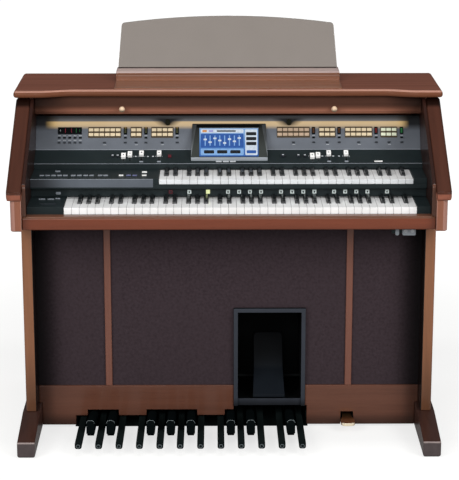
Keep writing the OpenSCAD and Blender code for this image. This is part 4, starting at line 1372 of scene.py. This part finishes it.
@dataclass
class Display(Assembly):
    """Touch display in its wedge of bezel, with a plain mixer page."""

    # The face starts this far above the housing's foot and ends this far before its back
    face_rise: float = 10.0
    face_setback: float = 14.5
    screen: Pair = (-90.0, 94.0)
    screen_foot: float = 6.0
    top_bar: Triple = (196.0, 11.0, 0.6)
    top_bar_along: float = 115.5
    # Thickness of one layer of the page
    layer: float = 0.3
    housing_patches: Patches = (
        (BEZEL_SIDE, lambda middle, normal: abs(normal.x) > 0.5),
        (BEZEL_LIP, lambda middle, normal: normal.y < -0.8),
    )

    def build(self) -> None:
        """Finishes the housing and draws the page."""
        bench = self.bench
        low, high = bench.corners("display_housing")
        face = Face((low.y, low.z + self.face_rise), (high.y - self.face_setback, high.z))
        bench.finish("display_housing", BEZEL, "grey_plastic", edge=1.6, patches=self.housing_patches)
        bench.finish("display_screen", SCREEN, "screen", edge=0.4)
        bench.lay("display_top_bar", self.top_bar, 2.0, [face.at(0, self.top_bar_along)], BEZEL_BLACK,
                  slot="grey_plastic")
        self.draw_page(face)

    def draw_page(self, face: Face) -> None:
        """Draws a generic mixer page with thin lit plates.

        Args:
            face: Face of the display.
        """
        left, right = self.screen
        mixer, menu = left + 71, right - 22
        columns = [left + 18 + 15.2 * step for step in range(8)]
        levels = (4, -6, 8, 0, -9, 5, -3, 9)
        pills = [
            *((menu, 46 + 18 * step) for step in range(3)),
            *((left + 30 + 41 * step, 16) for step in range(3)),
        ]
        # Width and height, corner, layer, finish and places of each kind of field
        fields = (
            ((134, 13), 3, 0, SCREEN_PALE, [(mixer, 92)]),
            ((134, 50), 3, 0, SCREEN_DEEP, [(mixer, 57)]),
            ((134, 24), 3, 0, SCREEN_SKY, [(mixer, 16)]),
            ((38, 94), 3, 0, SCREEN_PALE, [(menu, 51)]),
            ((3.2, 38), 1.4, 1, SCREEN_SKY, [(x, 57) for x in columns]),
            ((10, 6), 1.6, 2, SCREEN_PALE, [(x, 57 + level) for x, level in zip(columns, levels)]),
            ((32, 12), 3, 1, SCREEN_DARK, pills),
            ((60, 5), 2, 1, SCREEN_DARK, [(left + 84, 92)]),
            ((14, 8), 2, 1, SCREEN_ORANGE, [(left + 16, 92)]),
            ((14, 8), 2, 1, SCREEN_LILAC, [(left + 36, 92)]),
            ((30, 11), 3, 1, SCREEN_DEEP, [(menu, 16)]),
        )
        parts = []
        for size, corner, layer, finish, spots in fields:
            places = [face.at(x, self.screen_foot + along, layer * self.layer) for x, along in spots]
            parts.append(self.bench.lay("part", (*size, self.layer), corner, places, finish, edge=0.1))
        self.bench.hand_over(self.bench.join("display_page", parts), "screen")


@dataclass
class KeyDesk(Assembly):
    """Black mouldings round the manuals: bed, deck, piston strip and end blocks."""

    edge: float = 1.2
    deck_front: float = -141.5
    strip_front: float = -122.5
    lower_top: float = 757.0
    upper_top: float = 817.0
    fascia: Pair = (-603.0, -230.0)
    fascia_height: float = 25.5
    fascia_middle: float = 803.0
    fascia_head: float = 815.5
    pistons: tuple[float, ...] = (
        -177, -120, -63, -2, 32, 65, 99, 160, 194, 228, 262, 322, 356, 390, 424, 484,
    )
    lit_piston: float = -63
    piston_height: float = 772.0
    piston_depth: float = 4.0
    # Places of the small parts on the left blocks, as (X, Y), and of the switch on the strip, as (X, Z)
    block_switch: Pair = (-520, -150)
    strip_switch: Pair = (-520, 768)
    levers: tuple[Pair, ...] = ((-567, -160), (-540, -160))
    buttons: tuple[Pair, ...] = ((-259, -55), (-527, -44))
    button_patches: Patches = ((SWITCH_GREY, Zone(x=(-INF, -400))),)

    def build(self) -> None:
        """Finishes the mouldings and sets the small parts on them."""
        bench = self.bench
        for node in ("key_bed", "piston_strip", "upper_end_blocks", "lower_end_blocks"):
            bench.finish(node, BLACK_ABS, "black_plastic", self.edge)
        bench.finish("upper_deck", BLACK_ABS, "slate_plastic", self.edge)
        left, right = self.fascia
        width, middle = right - left, (left + right) / 2
        front = Face.upright(self.deck_front)
        # The fascia gets painted shadow from the arm at its left end
        bench.lay("left_fascia", (width, self.fascia_height, 0.8), 1.5,
                  [front.at(middle, self.fascia_middle)], SLATE_FRONT, slot="slate_plastic")
        # A pale line along the fascia's upper edge: a painted highlight
        bench.lay("fascia_edge", (width, 1.6, 1.2), 0.5, [front.at(middle, self.fascia_head)], SLATE_HIGHLIGHT,
                  slot="slate_plastic")
        self.add_marks()

    def add_marks(self) -> None:
        """Adds the dark middles of the pistons and the small switches on the left blocks."""
        bench = self.bench
        strip = Face.upright(self.strip_front)
        lower, upper = Face.level(self.lower_top), Face.level(self.upper_top)
        marks = [
            strip.at(x, self.piston_height, self.piston_depth)
            for x in self.pistons if x != self.lit_piston
        ]
        bench.lay("piston_marks", (4.5, 5.5, 0.5), 1, marks, SWITCH_DARK, edge=0.1, slot="black_plastic")
        switches = [lower.at(*self.block_switch), strip.at(*self.strip_switch)]
        bench.lay("left_switches", (15, 8, 2), 2, switches, SWITCH_GREY, edge=0.6, slot="white_caps")
        levers = [lower.at(*place) for place in self.levers]
        bench.lay("left_levers", (20, 4, 3), 1.5, levers, SWITCH_GREY, edge=0.8, slot="white_caps")
        buttons = [upper.at(*place) for place in self.buttons]
        bench.lay("left_buttons", (16, 9, 3), 2, buttons, CAP_WHITE, edge=0.8, slot="white_caps",
                  patches=self.button_patches)


@dataclass
class Pedalboard(Assembly):
    """Twenty bass pedals in their frame."""

    notes: tuple[str, ...] = ("c2", "cs2", "d2", "ds2", "e2", "f2", "fs2", "g2", "gs2", "a2", "as2", "b2",
                              "c3", "cs3", "d3", "ds3", "e3", "f3", "fs3", "g3")
    edge: float = 1.8
    ring_radius: float = 6.0
    ring_width: float = 1.4
    ring_height: float = 33.0
    # How far a ring's back is sunk into its pedal, and the radius within which its recess is black
    ring_sink: float = 0.4
    ring_floor: float = 4.0
    # The painted highlight on a sharp's front top edge lies within this depth and above this height
    highlight_depth: float = 4.0
    highlight_from: float = 62.0

    def build(self) -> None:
        """Finishes the frame and each pedal."""
        bench = self.bench
        bench.finish("pedal_frame", PEDAL_BLACK, "black_plastic", edge=1.0)
        for note in self.notes:
            node = f"pedal_{note}"
            pedal = bench.soften(node, self.edge, segments=3)
            if "s" in note:
                front = bench.corners(node)[0].y
                bench.dress(pedal, SHARP_BLACK, ((SHARP_EDGE_HIGHLIGHT, lambda middle, normal: (
                    middle.y < front + self.highlight_depth and middle.z > self.highlight_from
                    and -0.93 < normal.y < -0.3)),))
            else:
                bench.dress(pedal, PEDAL_BLACK)
                pedal = bench.join(f"{node}_finished", [pedal, self.ring(node)])
            bench.hand_over(pedal, "black_plastic", node, body=node)

    def ring(self, node: str) -> Piece:
        """Models the ring on a natural pedal's tip.

        Args:
            node: The pedal's node.

        Returns:
            The ring, in its place.
        """
        low, high = self.bench.corners(node)
        inner = self.ring_radius - self.ring_width
        ring = self.bench.disc("part", self.ring_radius, thick=0.9, hollow=inner, depth=0.6)
        self.bench.dress(ring, PEDAL_RING, (
            (PEDAL_BLACK, lambda middle, normal: middle.xy.length < self.ring_floor),
        ))
        tip = Face.upright(low.y + self.ring_sink)
        return self.bench.spread(ring, [tip.at((low.x + high.x) / 2, self.ring_height)])


@dataclass
class FootControls(Assembly):
    """Expression pedal in its box, damper pedal on its bracket, and the jack box."""

    jacks: tuple[float, ...] = (531, 551)
    jack_height: float = 13.5
    box_lip: float = 9.0
    # The near-black tray under the damper pedal's slot stands for the shade there
    tray: Triple = (64.0, 116.0, 11.0)
    tray_wall: float = 2.0
    tray_middle: float = 380.0
    tray_height: float = 6.0
    # The tip's front faces get a painted highlight
    damper_patches: Patches = ((BRASS_TIP_HIGHLIGHT, lambda middle, normal: normal.y < -0.5),)
    # The two grey blocks of the jack box
    jack_patches: Patches = ((JACK_GREY, Zone(x=(499.5, 511.5))), (JACK_GREY, Zone(x=(520.5, 562.0))))

    def build(self) -> None:
        """Finishes the foot controls and the jack box."""
        bench = self.bench
        lip = bench.corners("expression_box")[0].y + self.box_lip
        # Near black inside the box stands for its shade; the front frame gets painted shade towards the
        # floor
        bench.finish("expression_box", SHADE_BLACK, "grey_plastic", edge=1.5,
                     patches=((BOX_GREY, Zone(y=(-INF, lip))),))
        bench.finish("expression_pedal", SHOE_RUBBER, "grey_plastic", edge=1.5, body="expression_pedal")
        bench.finish("damper_pedal", BRASS, "brass", edge=1.2, patches=self.damper_patches, segments=3,
                     body="damper_pedal")
        bench.finish("damper_bracket", DARK_STEEL, "steel", edge=0.8)
        self.add_shade_tray()
        bench.finish("jack_box", BLACK_ABS, "grey_plastic", edge=0.8, patches=self.jack_patches)
        low = bench.corners("jack_box")[0]
        face = Face.upright(low.y)
        ring = bench.disc("jack_rings", radius=5.4, thick=1.4, hollow=3.2, depth=1.2)
        rings = bench.spread(ring, [face.at(x, low.z + self.jack_height) for x in self.jacks])
        bench.hand_over(bench.dress(rings, ZINC), "steel")

    def add_shade_tray(self) -> None:
        """Adds the near-black tray behind the kick rail that closes the damper pedal's slot from below; it
        stands for the shade inside the slot.
        """
        depth, height = self.tray[1:]
        tray = self.bench.plate("damper_tray", self.tray, corner=3.0)
        self.bench.sink(tray, self.tray_wall, height - self.tray_wall)
        self.bench.smooth(tray)
        front = self.bench.corners("damper_bracket")[0].y
        place = Face.level(self.tray_height).at(self.tray_middle, front + depth / 2)
        self.bench.hand_over(self.bench.dress(self.bench.spread(tray, [place]), SHADE_BLACK), "steel")


@dataclass(frozen=True)
class Softbox:
    """A soft studio lamp. Sizes are metres."""

    name: str
    place: Triple
    aim: Triple
    size: Pair
    watts: float

    def build(self) -> None:
        """Hangs the lamp and turns it to its aim."""
        data = bpy.data.lights.new(self.name, "AREA")
        data.shape = "RECTANGLE"
        data.size, data.size_y = self.size
        data.energy = self.watts
        lamp = bpy.data.objects.new(self.name, data)
        lamp.location = self.place
        lamp.rotation_euler = (Vector(self.aim) - Vector(self.place)).to_track_quat("-Z", "Y").to_euler()
        bpy.context.scene.collection.objects.link(lamp)


@dataclass
class Studio:
    """White floor, soft lamps, and the camera at the photograph's angle. Sizes are metres."""

    floor_size: float = 60.0
    floor_colour: str = "a8a8a6"
    # The floor's own white near the organ and far from it, and where it turns
    floor_lift: Pair = (0.68, 0.9)
    floor_reach: Pair = (0.9, 2.8)
    ambient: float = 0.35
    mirrored: float = 0.12
    lamps: tuple[Softbox, ...] = (
        Softbox("left_key", (-2.9, -2.9, 2.5), (0.0, -0.1, 0.6), (2.0, 2.0), 84.0),
        Softbox("right_key", (2.9, -2.9, 2.5), (0.0, -0.1, 0.6), (2.0, 2.0), 84.0),
        Softbox("front_fill", (-0.3, -4.8, 2.3), (0.0, 0.0, 0.7), (2.4, 1.6), 44.0),
        Softbox("top_softbox", (0.0, -0.4, 3.2), (0.0, 0.0, 0.8), (3.0, 0.35), 23.0),
    )
    camera_place: Triple = (-0.03973, -5.62135, 2.09574)
    camera_pitch: float = 0.2624
    camera_yaw: float = 0.0077
    camera_lens: float = 138.79
    camera_sensor: float = 36.0

    def build(self) -> None:
        """Sets up the floor, the world, the lamps and the camera."""
        bpy.context.scene.view_settings.view_transform = "Standard"
        self.lay_floor()
        self.paint_world()
        for lamp in self.lamps:
            lamp.build()
        data = bpy.data.cameras.new("photo_camera")
        data.lens = self.camera_lens
        data.sensor_width = self.camera_sensor
        camera = bpy.data.objects.new("photo_camera", data)
        camera.location = self.camera_place
        camera.rotation_euler = (math.pi / 2 - self.camera_pitch, 0.0, -self.camera_yaw)
        bpy.context.scene.collection.objects.link(camera)
        bpy.context.scene.camera = camera

    def shown(self, tree: Tree, unseen: float) -> Socket:
        """Adds the share of white that a ray sees.

        Args:
            tree: Node tree of the floor or the world.
            unseen: Share that only lights the organ.

        Returns:
            1 for the camera and for what is seen through clear plastic, a smaller share in a reflection.
        """
        rays = add_node(tree, "LightPath").outputs
        direct = add_node(tree, "Math", {0: rays["Is Camera Ray"], 1: rays["Is Transmission Ray"]},
                          operation="MAXIMUM")
        glossy = add_node(tree, "MapRange", {
            "Value": rays["Is Glossy Ray"], "To Min": unseen, "To Max": self.mirrored,
        })
        both = add_node(tree, "Math", {0: direct.outputs[0], 1: glossy.outputs["Result"]},
                        operation="MAXIMUM")
        return both.outputs[0]

    def lay_floor(self) -> None:
        """Lays the pale floor, which keeps the organ's shadow."""
        bpy.ops.object.select_all(action="DESELECT")
        bpy.ops.mesh.primitive_plane_add(size=self.floor_size)
        floor = bpy.context.object
        floor.name = "studio_floor"
        material = bpy.data.materials.new("white_floor")
        material.use_nodes = True
        tree = material.node_tree
        place = add_node(tree, "TexCoord").outputs["Object"]
        away = add_node(tree, "VectorMath", {0: place}, operation="LENGTH").outputs["Value"]
        near, far = self.floor_reach
        white = add_node(tree, "MapRange", {
            "Value": away, "From Min": near, "From Max": far,
            "To Min": self.floor_lift[0], "To Max": self.floor_lift[1],
        }, interpolation_type="SMOOTHSTEP")
        lift = add_node(tree, "Math", {0: self.shown(tree, 0.0), 1: white.outputs["Result"]},
                        operation="MULTIPLY")
        set_inputs(tree, tree.nodes["Principled BSDF"], {
            "Base Color": srgb(self.floor_colour), "Roughness": 0.9, "Specular IOR Level": 0.0,
            "Emission Color": WHITE, "Emission Strength": lift.outputs[0],
        })
        floor.data.materials.append(material)

    def paint_world(self) -> None:
        """Paints the world white where it is seen, and dimmer where it only lights the organ."""
        world = bpy.data.worlds.new("studio_world")
        bpy.context.scene.world = world
        world.use_nodes = True
        tree = world.node_tree
        set_inputs(tree, tree.nodes["Background"], {
            "Color": WHITE, "Strength": self.shown(tree, self.ambient),
        })


def main() -> None:
    """Builds the organ's sub-assemblies in order, then the studio."""
    logging.basicConfig(level=logging.INFO, format="%(message)s")
    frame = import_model()
    bench = Bench(frame["nodes"])
    for assembly in (Cabinet, MusicRest, Grille, Manuals, KeyDesk, ControlPanel, SliderStrip, Display,
                     Pedalboard, FootControls):
        assembly(bench).build()
    Studio().build()


if __name__ == "__main__":
    main()
